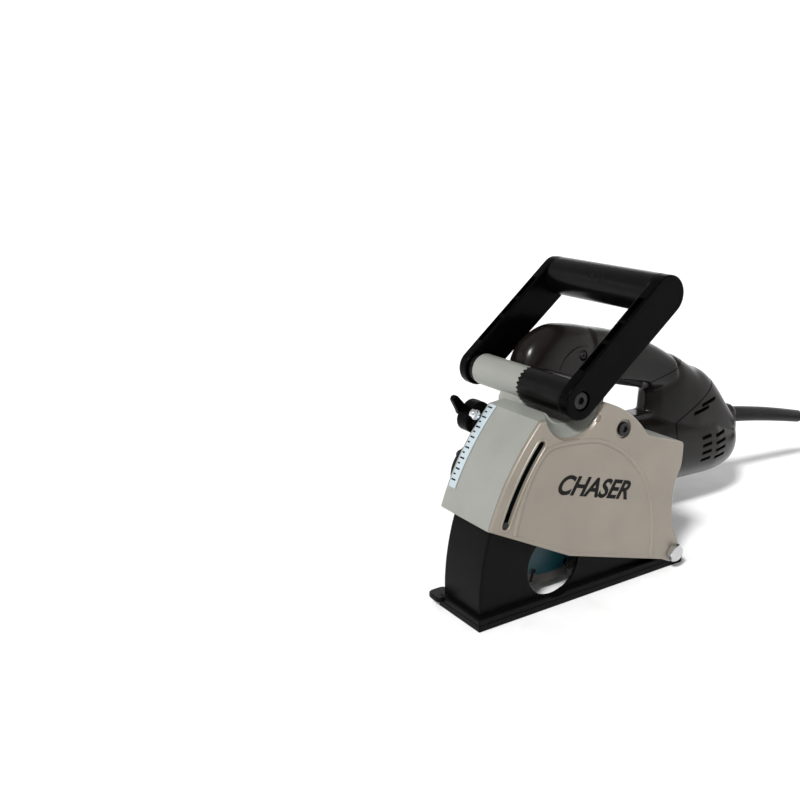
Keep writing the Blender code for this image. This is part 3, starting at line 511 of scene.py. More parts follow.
def cavity_outline():
    front = front_arc(193.6, 8, 42.6)
    dip = [(58.0, 148.0), (61.5, 147.6)] + arc(GRIP, 23.7, 216, 316, 24)
    crown = arc(SPINDLE, 84.3, 71, 35.5, 32)
    rear = [(192.6, 105.2), (193.0, 89.5), (187.2, 76.0), (185.3, 60.0), (186.4, 40.0), (188.0, 33.0)]
    return front + dip + crown + rear + [(172.0, 33.0), (172.0, -30.0), (0.0, -30.0)]


def scoop(name, thickness):
    """The cone of the recess behind the front grip's leg, grown by a wall's thickness."""
    slope = 8.0 / 13.0
    wide, narrow = 28.5 + slope * 3.0 + thickness, 19.0 + thickness
    return drum(name, "Y", wide, (-7.0, 9.0 + thickness / 3), SCOOP, TOOL, None, 72, narrow)


# Where the grip's arm lies along x and along y, at each height.
ARM_LEVELS = [
    ((72.0, 95.5), (46.6, 77.6), 139.0), ((72.4, 95.2), (46.8, 77.4), 147.6),
    ((73.2, 94.4), (47.4, 76.8), 149.8), ((74.2, 93.2), (48.0, 76.3), 152.4),
    ((74.6, 92.5), (48.3, 76.0), 155.4), ((74.8, 92.2), (48.4, 77.0), 159.0),
    ((74.8, 92.2), (48.4, 80.0), 163.0),
]
CASE_RIBS = [(112.0, 96.0, 146.0), (134.0, 92.0, 136.0), (156.0, 84.0, 116.0)]


def soft_square(x, y, z, count=40):
    """A ring at one height: a square with soft corners between two places along x and two along y."""
    ring = []
    for k in range(count):
        turn = 2 * pi * k / count
        a, b = cos(turn), sin(turn)
        reach_x = (x[1] - x[0]) / 2 * abs(a) ** 0.45 * (1 if a > 0 else -1)
        reach_y = (y[1] - y[0]) / 2 * abs(b) ** 0.45 * (1 if b > 0 else -1)
        ring.append(((x[0] + x[1]) / 2 + reach_x, (y[0] + y[1]) / 2 + reach_y, z))
    return ring


def add_case():
    """The right half of the case: wall, front, crown and rear edge, with the front grip's boss on an arm."""
    outline = case_outline([(180.0, 14.5), (6.4, 77.3)])
    case = prism("blade_case_shell", outline, (-0.9, 57.0), TOOL, CASTING, high=2.2)
    hollow = prism("case_hollow", cavity_outline(), (-8.0, 53.8), TOOL)
    bolt_boss = drum("case_bolt_boss", "Y", 7.0, (-0.9, 60.0), (130.5, 134.0), TOOL)
    cut(hollow, scoop("scoop_wall", 3.2), bolt_boss)
    cut(case, hollow, scoop("scoop_cut", 0.0), box("ear_room", (171, 215), (-8.0, 53.8), (-5, 34), TOOL))
    cut(
        case,
        drum("case_mouth", "Y", 12.0, (50.0, 60.0), SPINDLE, TOOL),
        drum("case_hinge_hole", "Y", 4.3, (50.0, 60.0), PIVOT, TOOL),
        drum("case_dust_port", "X", 12.3, (180, 205), DUST_WAY, TOOL),
        prism("case_stop_slot", arc_slot(STOP_SLOT_RADIUS, 2.2, 22.0, 40.5), (53.0, 60.0), TOOL),
        drum("case_bolt_hole", "Y", 2.9, (-2, 25), COVER_BOLT, TOOL),
    )
    arm = skin("grip_arm", [soft_square(*level) for level in ARM_LEVELS], TOOL)
    gusset = box("grip_gusset", (76.5, 90.0), (55.5, 66.0), (104.0, 150.0), TOOL, None, 2.0)
    boss = drum("grip_boss", "Y", 12.6, (47.9, 106.0), GRIP, TOOL, None, 96, None, 0.9)
    ribs = [box(f"case_rib_{i}", (x, x + 3.0), (55.5, 59.0), (low, high), TOOL, None, 1.0)
            for i, (x, low, high) in enumerate(CASE_RIBS)]
    join(case, arm, gusset, boss, *ribs)
    cut(case, drum("grip_boss_bore", "Y", 4.4, (40.0, 110.0), GRIP, TOOL))
    done(case, "tool", "silver_casting", "blade_case", angle=30)


def ridge(name, points, radius, y, steps=6):
    path = [(p[0], y, p[1]) for p in spline(points, steps)]
    return sweep(name, path, radius, TOOL, SILVER, 12)


def add_cover():
    """The left side plate with its embossed ridges."""
    outline = case_outline([(180.8, 11.0), (81.2, 40.3), (6.6, 77.7)])
    cover = prism("case_cover_plate", outline, (-4.0, -1.2), TOOL, SILVER, low=1.5, high=0.25, segments=5)
    cut(cover, scoop("cover_scoop", 0.0))
    cut(
        cover,
        prism("cover_slot", arc_slot(PIN_SLOT_RADIUS, 3.5, *PIN_SLOT), (-6.0, 0.0), TOOL),
        drum("cover_hinge_hole", "Y", 4.3, (-6.0, 0.0), PIVOT, TOOL),
        drum("cover_bolt_hole", "Y", 3.3, (-6.0, 0.0), COVER_BOLT, TOOL),
        drum("cover_bolt_recess", "Y", 7.5, (-6.0, -2.4), COVER_BOLT, TOOL),
        drum("cover_dimple", "Y", 3.0, (-6.0, -2.9), (104.0, 144.0), TOOL),
    )
    done(cover, "tool", "silver_casting", "case_cover", angle=30)
    arch = [
        (28.2, 70.5), (32.1, 86.4), (39.6, 106.0), (48.6, 121.0), (57.0, 128.6), (68.0, 130.4), (84.0, 129.8),
        (105.5, 126.4), (126.7, 115.5), (144.0, 100.5), (157.6, 81.3), (164.9, 59.9), (167.6, 39.2),
        (167.9, 17.0),
    ]
    edge = [(18.5, 75.6), (48, 61.2), (83.5, 43.7), (130, 30.2), (164.5, 20.0)]
    ribs = [
        ridge("rib_arch", arch, 2.3, -2.8),
        ridge("rib_edge", edge, 0.7, -3.6, 1),
    ]
    slot_rim = arc_slot(PIN_SLOT_RADIUS, 4.3, *PIN_SLOT)
    slot_rim += slot_rim[:1]
    ribs.append(sweep("rib_rim", [(a, -3.6, b) for a, b in slot_rim], 1.15, TOOL, SILVER, 12))
    done(gather("cover_ribs", ribs), "tool", "silver_casting")


def add_word():
    """A generic word in dark paint on the cover."""
    curve = bpy.data.curves.new("cover_word", "FONT")
    curve.body = "CHASER"
    curve.size = 0.0205
    curve.shear = 0.3
    curve.offset = 0.0006
    curve.extrude = 0.0001
    curve.align_x = "CENTER"
    word = linked("cover_word", curve)
    settled = bpy.data.meshes.new_from_object(word.evaluated_get(bpy.context.evaluated_depsgraph_get()))
    bpy.data.objects.remove(word, do_unlink=True)
    spot = MM @ TOOL @ Matrix.Translation((100.5, -4.05, 84.0)) @ Matrix.Rotation(radians(16), 4, "Y")
    settled.transform(spot @ Matrix.Scale(1 / METRES, 4) @ Matrix.Rotation(radians(90), 4, "X"))
    settled.materials.append(INK)
    done(linked("cover_word", settled), "tool", "silver_casting")


HEX_FLATS = 13.0


def socket_bolt(name, centre, face, radius, height, place, node, key=2.6):
    """A cap screw seen from the left, with a hexagon socket in its head."""
    profile = [(0, face + height), (radius, face + height), (radius, face), (0, face)]
    head = turned(name, "Y", profile, centre, place, DARK_STEEL, 48, ease=0.5)
    cut(head, drum(name + "_key", "Y", key, (face - 1, face + height * 0.65), centre, place, None, 6))
    done(head, "tool", "dark_steel", node, angle=28)


def hex_head(name, span, centre, node):
    """A hexagon head or nut with its corners turned off."""
    half = HEX_FLATS / 2
    head = prism(name, arc(centre, half / cos(pi / 6), 0, 300, 5), span, TOOL, STEEL)
    near, far = span
    mid = [
        (0, near - 1), (half * 0.93, near - 0.01), (half * 1.2, near + 1.5),
        (half * 1.2, far - 1.5), (half * 0.93, far + 0.01), (0, far + 1),
    ]
    combine(head, [turned(name + "_turn", "Y", mid, centre, TOOL, None, 72)], "INTERSECT")
    done(head, "tool", "steel", node, angle=20)


add_case()
add_cover()
add_word()
socket_bolt("cover_bolt_head", COVER_BOLT, -5.2, 5.4, 2.5, TOOL, "cover_bolt")
hex_head("hinge_bolt_head", (-9.4, -4.3), PIVOT, "hinge_bolt")
done(drum("hinge_bolt_shank", "Y", 4.0, (-4.6, 67.0), PIVOT, TOOL, STEEL, 48, None, 0.6), "tool", "steel")
hex_head("hinge_nut_body", (57.3, 64.0), PIVOT, "hinge_nut")


# ---- depth label ----
def add_label():
    """The white depth label on the case's front, with ticks and no numbers."""
    outline = front_arc(197.1, 23.5, 43.5) + front_arc(197.5, 43.5, 23.5)
    label = prism("depth_label", outline, (46.0, 54.0), TOOL, WHITE)
    done(label, "tool", "white_plate", "depth_scale")
    ticks = []
    for i in range(15):
        angle = 25.0 + i * 1.25
        long = i % 2 == 0
        outline = front_arc(197.45, angle, angle + 0.36, 2) + front_arc(197.6, angle + 0.36, angle, 2)
        ticks.append(prism(f"tick_{i}", outline, (48.6 if long else 51.0, 53.4), TOOL, INK))
    done(gather("depth_ticks", ticks), "tool", "white_plate")


add_label()


# ---- base ----
WINDOW, WINDOW_RADIUS = (73, 32.5), 25.0


def add_base():
    """The box-section base: a bent shell over a sole, with a runner that reaches out to the right."""
    side = front_arc(188.3, -4.0, 23.5) + [(81.2, 49.6), (170.0, 22.0)] + arc(PIVOT, 8.5, 115, -50, 14)
    side += [(198.0, 4.0), (10.0, 4.0)]
    base = prism("base_body", side, (5.0, 50.0), TOOL, BASE_BLACK, low=1.6, high=1.6)
    inner = front_arc(185.9, -20.0, 35.0)
    cut(
        base,
        prism("base_inside", inner + [(60.0, 130.0), (230.0, 130.0), (230.0, -60.0)], (7.4, 47.6), TOOL),
        drum("base_window", "Y", WINDOW_RADIUS, (0.0, 55.0), WINDOW, TOOL, None, 96),
        drum("base_hinge_hole", "Y", 4.3, (0.0, 55.0), PIVOT, TOOL),
    )
    ends = eased([(0, 0), (209, 0), (209, 9.7), (0, 9.7)], {0: 0.8, 1: 1.5, 2: 6.5, 3: 1.6}, 6)
    sole = prism("base_sole", ends, (0, 50.5), TOOL, None, "Y", 0.9, 0.9)
    grooves = [
        box("groove_left", (-2, 211), (-1, 0.55), (4.7, 5.4), TOOL),
        box("groove_front", (-1, 0.55), (-2, 52), (4.7, 5.4), TOOL),
    ]
    cut(sole, *grooves)
    ear = eased([(-5, 44), (11, 44), (11, 60), (-5, 60)], {0: 4, 3: 6, 2: 4})
    join(
        sole,
        box("base_outrigger", (58, 205), (45, 122), (0, 3.0), TOOL, None, 0.8),
        prism("base_ear", ear, (5.6, 9.4), TOOL, None, "Z", 0.5, 0.8),
        box("runner_rib_left", (130, 201), (59, 62), (2, 6.0), TOOL, None, 0.7),
        box("runner_rib_right", (130, 201), (117.5, 120.5), (2, 6.0), TOOL, None, 0.7),
    )
    cut(
        sole,
        box("sole_mouth", (14, 176), (8.0, 47.0), (-5, 15), TOOL),
        drum("sole_hinge_room", "Y", 10.6, (7.9, 58.6), PIVOT, TOOL),
        drum("sole_window", "Y", WINDOW_RADIUS, (-3.0, 12.0), WINDOW, TOOL, None, 96),
    )
    join(base, sole)
    done(base, "base", "black_steel", "base", angle=30, mat=BASE_BLACK)


add_base()


# ---- wheels ----
SEGMENTS = 10
STEP = 36.0
KEYHOLE, KEYHOLE_AT, GAP_HALF = 2.6, 53.5, 0.9


def wheel_outline(radius, gap):
    """A disc with ten gaps in its rim that end in round keyholes. gap is half a gap, in degrees."""
    outline = []
    mouth = (GAP_HALF / KEYHOLE) * 57.3
    for i in range(SEGMENTS):
        turn = STEP * i
        centre = arc((0, 0), KEYHOLE_AT, turn, turn, 1)[0]
        outline += arc(centre, KEYHOLE, turn - mouth, turn - 360 + mouth, 16)
        outline += arc((0, 0), radius, turn + gap, turn + STEP - gap, 12)
    return outline


def add_wheels():
    for name, span, turn in (("wheel_left", (22.8, 25.2), 0.0), ("wheel_right", (37.0, 39.2), 18.0)):
        place = WHEELS @ Matrix.Rotation(radians(turn), 4, "Y")
        middle = (span[0] + span[1]) / 2
        outline, plate = wheel_outline(56.5, 0.9), (middle - 0.85, middle + 0.85)
        # The disc's colour holds painted shade: teal as on the real discs, but darker.
        disc = prism(name + "_disc", outline, plate, place, TEAL_WITH_PAINTED_SHADE, low=0.15, high=0.15, segments=2)
        cut(disc, drum(name + "_bore", "Y", 11.1, (0, 60), (0, 0), place))
        done(disc, "spindle", "teal_paint", name)
        teeth = []
        width = (span[0] + 0.02, span[1] - 0.02)
        for i in range(SEGMENTS):
            a, b = STEP * i + 0.95, STEP * i + 35.05
            outline = arc((0, 0), 62.4, a, b, 12) + arc((0, 0), 55.6, b, a, 12)
            tooth = prism(f"{name}_tooth_{i}", outline, width, place, GRIT, low=0.2, high=0.2, segments=2)
            teeth.append(tooth)
        done(gather(name + "_rim", teeth), "spindle", "teal_paint")


add_wheels()


# ---- rear handle: stations are (place along the motor axis, lowest, highest, half-width) ----
FULLNESS = 2.6
DOME = [
    (13.5, 62, 98, 7), (17, 48, 106.5, 13), (24, 36, 114.5, 17), (36, 26, 121.5, 19.5),
    (50, 22, 125, 20), (70, 22, 123.2, 20), (90, 22, 119.2, 18.5), (108, 22, 115.8, 17.3),
]
BAR = [
    (85, 60, 120, 19), (108, 60, 115.8, 17.3), (130, 58, 110, 17),
    (150, 57, 103, 17.5), (166, 56, 96, 18.5), (182, 54, 87, 20),
]
HUMP = [
    (160, 12, 60, 5), (166, 6, 70, 11), (175, 0, 83, 18.5), (186, 0, 86.5, 22.5), (200, 0, 79.5, 25),
    (209, 0, 74, 26.5), (222, 0, 69.5, 27), (234, 0, 58.5, 27), (248, 0, 41, 26), (258, 0, 29.5, 24),
    (268, 0, 21.5, 19), (275, 2, 14.5, 12),
]
TAIL = [
    (152.3, -32.5, 32.5, 32.5), (222, -32.5, 32.5, 32.5), (235, -32.4, 31, 31.5), (248, -31.5, 28.5, 29),
    (258, -30, 26, 26), (266, -27.5, 22, 22), (272, -23.5, 17, 17), (277, -17, 10.5, 10), (279.5, -10, 4, 4),
]
FINGER_HOLE = [
    (98, 42), (96, 58), (103, 76), (127, 71.5), (152, 66.5), (157, 60), (158, 50), (153, 40), (144, 35.4),
    (104, 35.4),
]
FINGER_HOLE_ROUNDING = {1: 5, 2: 7, 3: 6, 4: 5, 7: 4, 8: 6, 9: 6}
KNUCKLE_SEAM = [(139.0, 52.0), (142.0, 60.0), (150.0, 65.2), (165.0, 70.5), (186.0, 78.5), (204.0, 88.0)]
HANDLE_SCREW, LOCK_OFF = (69.4, 99.8), (110.0, 96.0)
TAIL_SEAM = [(176.0, -60.0), (177.0, 8.0), (178.5, 19.0), (185.5, 28.0), (216.0, 51.0), (245.0, 73.0)]


def oval(station, power, count):
    """A ring across the motor axis: an ellipse, fuller the higher its power."""
    u, low, high, half = station
    ring = []
    for i in range(count):
        turn = 2 * pi * (i + 0.5) / count
        a, b = cos(turn), sin(turn)
        v = half * abs(a) ** (2 / power) * (1 if a > 0 else -1)
        w = (high - low) / 2 * abs(b) ** (2 / power) * (1 if b > 0 else -1)
        ring.append((u, v, (high + low) / 2 + w))
    return ring


def loft(name, stations, power=FULLNESS, count=64, steps=4):
    heights = spline([(s[0], s[1], s[2]) for s in stations], steps)
    widths = spline([(s[0], s[3], 0.0) for s in stations], steps)
    return skin(name, [oval((*a, b.y), power, count) for a, b in zip(heights, widths)], MOTOR)


def left_surface(u, w):
    """How far left the handle's side lies at a place on it."""
    best = 0.0
    for stations in (DOME, BAR):
        for a, b in zip(stations, stations[1:]):
            if a[0] <= u <= b[0]:
                t = (u - a[0]) / (b[0] - a[0])
                low, high, half = (a[k] + (b[k] - a[k]) * t for k in (1, 2, 3))
                rel = abs(w - (low + high) / 2) / ((high - low) / 2)
                if rel < 1:
                    best = max(best, half * (1 - rel ** FULLNESS) ** (1 / FULLNESS))
    return -best


def groove_over(obj, line, width, depth):
    """Cuts a groove of even depth into a shape, wherever a band along a line in the side view crosses it."""
    core = linked("core", obj.data.copy())
    shrink = core.modifiers.new("shrink", "DISPLACE")
    shrink.mid_level = 0.0
    shrink.strength = -depth * METRES
    settle(core)
    half = width / 2
    ways = [(line[min(i + 1, len(line) - 1)] - line[max(i - 1, 0)]).normalized() for i in range(len(line))]
    upper = [(p.x - way.y * half, p.y + way.x * half) for p, way in zip(line, ways)]
    lower = [(p.x + way.y * half, p.y - way.x * half) for p, way in zip(line, ways)]
    band = prism("band", upper + lower[::-1], (-60, 60), MOTOR)
    cut(band, core)
    cut(obj, band)


def vents():
    """The outlines of the tail's vents: four rows of two, and two slanting ones above them."""
    loops = []
    half = 1.5
    for w in (10.6, 3.7, -3.2, -10.1):
        for u, length, lift in ((208.3, 12.4, 1.6), (226.6, 14.8, 2.0)):
            far = u + length
            loops.append([(u, w - half), (far, w - half + lift), (far, w + half + lift), (u, w + half)])
    for u, w in ((201.0, 31.5), (209.0, 38.5)):
        loops.append([(u, w), (u + 17.0, w + 5.2), (u + 17.0, w + 8.8), (u, w + 3.6)])
    return loops


def add_handle():
    """The D-handle and tail as one blended form, which is then split into two halves and the rear cover."""
    whole = loft("handle_whole", DOME)
    join(
        whole,
        loft("handle_bar", BAR),
        loft("handle_hump", HUMP),
        loft("handle_tail", TAIL, 2.1),
        box("handle_saddle", (60, 172), (-10, 10), (26, 36), MOTOR),
        drum("cord_collar", "X", 10.8, (250, 279), (0.0, 16.0), MOTOR),
    )
    cut(whole, prism("finger_hole", eased(FINGER_HOLE, FINGER_HOLE_ROUNDING), (-60, 60), MOTOR))
    remeshed(whole, 1.25, 7)
    cut(
        whole,
        drum("motor_room", "X", 33.1, (10, 152.2), (0, 0), MOTOR, None, 96),
        drum("cord_hole", "X", 8.9, (255, 300), (0.0, 16.6), MOTOR),
        box("trigger_slot", (102.5, 152.5), (-9.0, 9.0), (55, 88), MOTOR),
    )
    seam = [(43.5, 90.6), (48.5, 98.5), (56.0, 104.0), (66.0, 107.2), (76.0, 106.7)]
    lower = [(29.0, 93.0), (45.0, 88.2), (61.0, 83.2), (77.0, 78.0)]
    for name, points in (("panel_line", seam), ("lower_line", lower)):
        path = [(p[0], left_surface(p[0], p[1]) - 0.1, p[1]) for p in spline(points, 5)]
        cut(whole, sweep(name, path, 0.6, MOTOR, None, 8))
    cut(whole, drum("screw_pocket", "Y", 4.6, (-60, -16.0), HANDLE_SCREW, MOTOR, None, 40))
    groove_over(whole, spline(KNUCKLE_SEAM, 5), 0.9, 0.7)
    tail = linked("rear_cover_shell", whole.data.copy())
    zone = [(u + 0.12, w - 0.12) for u, w in TAIL_SEAM] + [(320.0, 70.0), (320.0, -60.0)]
    room = [(u - 0.35, w + 0.35) for u, w in TAIL_SEAM] + [(320.0, 71.0), (320.0, -60.0)]
    proud = tail.modifiers.new("proud", "DISPLACE")
    proud.mid_level = 0.0
    proud.strength = 0.35 * METRES
    settle(tail)
    combine(tail, [prism("tail_zone", zone, (-60, 60), MOTOR)], "INTERSECT")
    cut(whole, prism("tail_room", room, (-60, 60), MOTOR))
    for loop in vents():
        cut(tail, prism("vent_left", loop, (-60, -21), MOTOR), prism("vent_right", loop, (21, 60), MOTOR))
    other = linked("handle_right_shell", whole.data.copy())
    whole.name = "handle_left_shell"
    cut(whole, box("right_side", (0, 330), (-0.2, 60), (-80, 160), MOTOR))
    cut(other, box("left_side", (0, 330), (-60, 0.2), (-80, 160), MOTOR))
    cut(whole, drum("lock_off_hole", "Y", 4.5, (-30, -6), LOCK_OFF, MOTOR, None, 40))
    for obj, node in ((whole, "handle_left"), (other, "handle_right"), (tail, "rear_cover")):
        done(obj, "tool", "dark_plastic", node, angle=38, mat=PLASTIC)
    profile = [(0, -14.4), (3.4, -14.4), (3.4, -17.4), (2.4, -18.4), (0, -18.4)]
    screw = turned("handle_screw", "Y", profile, HANDLE_SCREW, MOTOR, DARK_STEEL, 32)
    cut(screw, drum("screw_key", "Y", 1.5, (-20, -17.0), HANDLE_SCREW, MOTOR, None, 6))
    done(screw, "tool", "dark_steel")


add_handle()


# ---- trigger and buttons ----
SHAFT_LOCK = (-13.5, 0.0)


def add_controls():
    outline = [
        (104, 72), (110, 69.5), (127, 65.5), (148, 60.8), (151, 62), (151, 76), (140, 80), (108, 81),
        (104, 78),
    ]
    outline = eased(outline, {0: 3, 3: 2, 4: 2, 8: 3})
    trigger = prism("trigger_pad", outline, (-8.4, 8.4), MOTOR, GRIPPY, low=1.4, high=1.4)
    done(trigger, "trigger", "black_plastic", "trigger")
    cap = [(0, -20.5), (4.1, -20.5), (4.1, -11), (0, -11)]
    lock = turned("lock_off_cap", "Y", cap, LOCK_OFF, MOTOR, GRIPPY, 48, ease=0.8)
    done(lock, "lock_off_button", "dark_plastic", "lock_off_button")
    cap = [(0, -35), (5.8, -35), (5.8, -31), (4.1, -31), (4.1, -26.6), (0, -26.6)]
    lock = turned("shaft_lock_cap", "X", cap, SHAFT_LOCK, MOTOR, GRIPPY, 48, ease=0.5)
    done(lock, "shaft_lock_button", "dark_plastic", "shaft_lock_button")


add_controls()


# ---- motor and gear housings ----
BRUSHES = (124.0, 0.0)


def add_housings():
    centre = (0, 0)
    shell = [
        (29.8, 44.3), (32.5, 44.3), (32.5, 152.0), (6.5, 152.0), (6.5, 148.8), (11.3, 148.8), (11.3, 138.0),
        (29.8, 138.0),
    ]
    housing = turned("motor_shell", "X", shell, centre, MOTOR, PLASTIC, 120, hollow=True, ease=0.4)
    for side in (-1, 1):
        cut(housing, drum("brush_hole", "Y", 6.4, sorted((side * 20.0, side * 40.0)), BRUSHES, MOTOR))
    done(housing, "tool", "dark_plastic", "motor_housing")
    ribs = []
    for k in range(7):
        turn = radians(-62 + k * 9.5)
        path = [(u, 32.3 * cos(turn), 32.3 * sin(turn)) for u in (56.0, 70.0, 90.0, 108.0)]
        ribs.append(sweep(f"motor_rib_{k}", path, 1.2, MOTOR, PLASTIC, 10))
    done(gather("motor_ribs", ribs), "tool", "dark_plastic")
    gear = drum("gear_shell", "Y", 27.0, (-32.7, 29.0), centre, MOTOR, DULL_BLACK, 96, None, 1.8)
    join(gear, drum("housing_cone", "X", 24.0, (0.0, 34.0), centre, MOTOR, None, 96, 32.0))
    join(gear, drum("housing_flange", "X", 32.5, (33.0, 38.0), centre, MOTOR, None, 96, None, 0.6))
    screws = []
    head = [(0, 30.0), (3.4, 30.0), (3.4, 32.4), (1.9, 32.4), (1.9, 31.2), (0, 31.2)]
    for k in range(4):
        corner = arc(centre, 21.5, 45 + 90 * k, 45 + 90 * k, 1)[0]
        join(gear, drum("gear_lug", "Y", 4.8, (10.0, 30.6), corner, MOTOR, None, 40, None, 0.8))
        screws.append(turned(f"gear_screw_{k}", "Y", head, corner, MOTOR, DARK_STEEL, 32))
    cut(
        gear,
        drum("housing_hollow", "Y", 22.5, (-36.0, 15.5), centre, MOTOR, None, 96),
        drum("needle_seat", "Y", 10.2, (14.0, 25.5), centre, MOTOR),
        drum("housing_throat", "X", 17.4, (14.0, 42.0), centre, MOTOR, None, 96),
        drum("shaft_lock_hole", "X", 4.4, (-32.0, -18.0), SHAFT_LOCK, MOTOR),
    )
    done(gear, "tool", "black_casting", "gear_housing", angle=30)
    done(gather("gear_screws", screws), "tool", "dark_steel")
    add_rings(centre)
    for side, name in ((-1, "left"), (1, "right")):
        cap = [(0, side * 26.0), (6.0, side * 26.0), (6.0, side * 33.0), (0, side * 33.0)]
        piece = turned("brush_screw_" + name, "Y", cap, BRUSHES, MOTOR, GRIPPY, 48, ease=0.5)
        cut(piece, box("brush_key", (119.5, 128.5), sorted((side * 31.6, side * 36.0)), (-0.8, 0.8), MOTOR))
        done(piece, "tool", "dark_plastic", "brush_cap_" + name)
    nozzle = [(12.0, 221.0), (14.0, 221.0), (14.3, 193.6), (15.9, 193.6), (15.9, 190.6), (12.0, 190.6)]
    spigot = turned("dust_spigot", "X", nozzle, DUST_WAY, TOOL, PLASTIC, 72, hollow=True, ease=0.5)
    done(spigot, "tool", "dark_plastic", "dust_nozzle")


def add_rings(centre):
    """The two cast rings that hold the front motor bearing and the spindle bearing."""
    retainer = [
        (13.3, 29), (17.1, 29), (17.1, 38.3), (32.4, 38.3), (32.4, 44.0), (8, 44.0), (8, 41.3), (13.3, 41.3),
    ]
    ring = turned("retainer_ring", "X", retainer, centre, MOTOR, CASTING, 96, hollow=True, ease=0.3)
    done(ring, "tool", "silver_casting", "bearing_retainer")
    seat = [(16.3, 69), (22.2, 69), (22.2, 57.3), (10, 57.3), (10, 58.7), (16.3, 58.7)]
    ring = turned("bearing_seat", "Y", seat, centre, WHEELS, CASTING, 72, hollow=True, ease=0.3)
    done(ring, "tool", "silver_casting", "bearing_box")


add_housings()


# ---- front grip ----
BAR_AT = (82.8, 66.6)
LEAN = 38.8
SLEEVE_POINTS, SLEEVE_TEETH, TOOTH_HEIGHT = 96, 24, 2.6


def add_leg(node, span):
    """One of the grip's flat legs, with three pockets along its upper edge."""
    outline = arc((0, 0), 14.5, LEAN + 90, LEAN + 270, 40) + arc(BAR_AT, 15.5, LEAN - 90, LEAN + 90, 40)
    ways = Vector((cos(radians(LEAN)), sin(radians(LEAN))))
    up = Vector((-ways.y, ways.x))
    leg = prism(node + "_bar", outline, span, TILT, BLACK, low=1.3, high=1.3)
    inside = (span[0] + 1.9, span[1] - 1.9)
    for start, end in ((16.0, 42.0), (45.3, 62.6), (65.5, 88.0)):
        corners = [(start, 6.5), (end, 6.5), (end, 19.0), (start, 19.0)]
        corners = [tuple(ways * a + up * b) for a, b in corners]
        cut(leg, prism("leg_pocket", eased(corners, {0: 2.0, 1: 2.0}), inside, TILT))
    cut(leg, drum("leg_hole", "Y", 4.4, (span[0] - 3, span[1] + 3), (0, 0), TILT))
    if node == "grip_near_leg":
        cut(leg, drum("leg_recess", "Y", 7.4, (-12.0, -2.6), (0, 0), TILT))
    done(leg, "front_grip", "black_casting", node, angle=30)


def sleeve_rings():
    """The sleeve round the grip's bolt, whose far end has a crown of pointed teeth."""
    rings = []
    for radius, along, toothed in (
        (12.9, 44.5, False), (12.9, 46.6, True), (14.0, 46.6, True), (14.0, 2.2, False), (13.6, 1.8, False),
        (4.6, 1.8, False), (4.6, 44.5, False),
    ):
        ring = []
        for k in range(SLEEVE_POINTS):
            turn = 2 * pi * k / SLEEVE_POINTS
            wave = abs(((k * SLEEVE_TEETH / SLEEVE_POINTS) % 1.0) - 0.5) * 2.0
            reach = wave * TOOTH_HEIGHT if toothed else 0.0
            ring.append((radius * cos(turn), along + reach, radius * sin(turn)))
        rings.append(ring)
    return rings


def add_grip():
    for node, span in (("grip_near_leg", (-8.0, 1.5)), ("grip_far_leg", (112.0, 121.0))):
        add_leg(node, span)
    bar = drum("grip_bar_tube", "Y", 15.5, (1.8, 111.7), BAR_AT, TILT, GRIPPY, 120, None, 0.5)
    done(bar, "front_grip", "black_plastic", "grip_bar")
    sleeve = skin("grip_sleeve_tube", sleeve_rings(), TILT, GRIPPY, closed=True)
    done(sleeve, "front_grip", "black_plastic", "grip_sleeve", angle=30)
    profile = [(4.4, 106.3), (12.0, 106.3), (12.0, 111.7), (4.4, 111.7)]
    bush = turned("grip_bush_ring", "Y", profile, (0, 0), TILT, GRIPPY, 72, hollow=True, ease=0.5)
    done(bush, "front_grip", "black_plastic", "grip_bush")
    socket_bolt("grip_bolt_head", (0, 0), -7.0, 6.3, 4.1, TILT, "grip_bolt", 3.0)
    shank = drum("grip_bolt_shank", "Y", 4.0, (-3.2, 128.5), (0, 0), TILT, STEEL, 48, None, 0.6)
    done(shank, "tool", "steel")
    hex_head("grip_nut_body", (121.3, 127.5), GRIP, "grip_nut")


add_grip()


# ---- depth stop ----
def add_stop():
    """The stop block on its arc, its bolt and its clamping lever."""
    bolt_at = front_arc(202.6, 39.6, 50, 1)[0]
    stem_at = front_arc(STOP_SLOT_RADIUS, 39.6, 50, 1)[0]
    stop = prism("stop_block", arc_slot(196.4, 9.3, 38.6, 40.6), (57.4, 69.7), TOOL, BLACK, low=0.9, high=0.9)
    join(stop, prism("stop_pointer", arc_slot(199.4, 1.2, 37.6, 38.4), (54.6, 60.0), TOOL, None, low=0.3))
    join(stop, drum("stop_stem", "Y", 1.9, (51.5, 63.0), stem_at, TOOL))
    cut(stop, drum("stop_bolt_hole", "Y", 2.3, (50.0, 75.0), bolt_at, TOOL))
    done(stop, "depth_stop", "black_casting", "depth_stop", angle=30)
    profile = [
        (0, 52.4), (1.8, 52.5), (3.2, 53.0), (4.0, 54.0), (4.0, 57.1), (2.0, 57.1), (2.0, 76.0), (0, 76.0),
    ]
    bolt = turned("stop_bolt_dome", "Y", profile, bolt_at, TOOL, CHROME, 64)
    done(bolt, "depth_stop", "bright_steel", "stop_bolt")
    place = TOOL @ Matrix.Translation((bolt_at[0], 0.0, bolt_at[1]))
    place = place @ Matrix.Rotation(radians(125), 4, "Y").inverted()
    outline = arc((0, 0), 4.6, 60, 300, 24) + arc((11.0, 0), 3.0, -70, 70, 14)
    lever = prism("stop_lever_arm", outline, (70.0, 74.6), place, BLACK, low=0.8, high=0.8)
    cut(lever, drum("stop_lever_hole", "Y", 2.3, (65.0, 80.0), bolt_at, TOOL))
    done(lever, "stop_lever", "black_casting", "stop_lever")


add_stop()


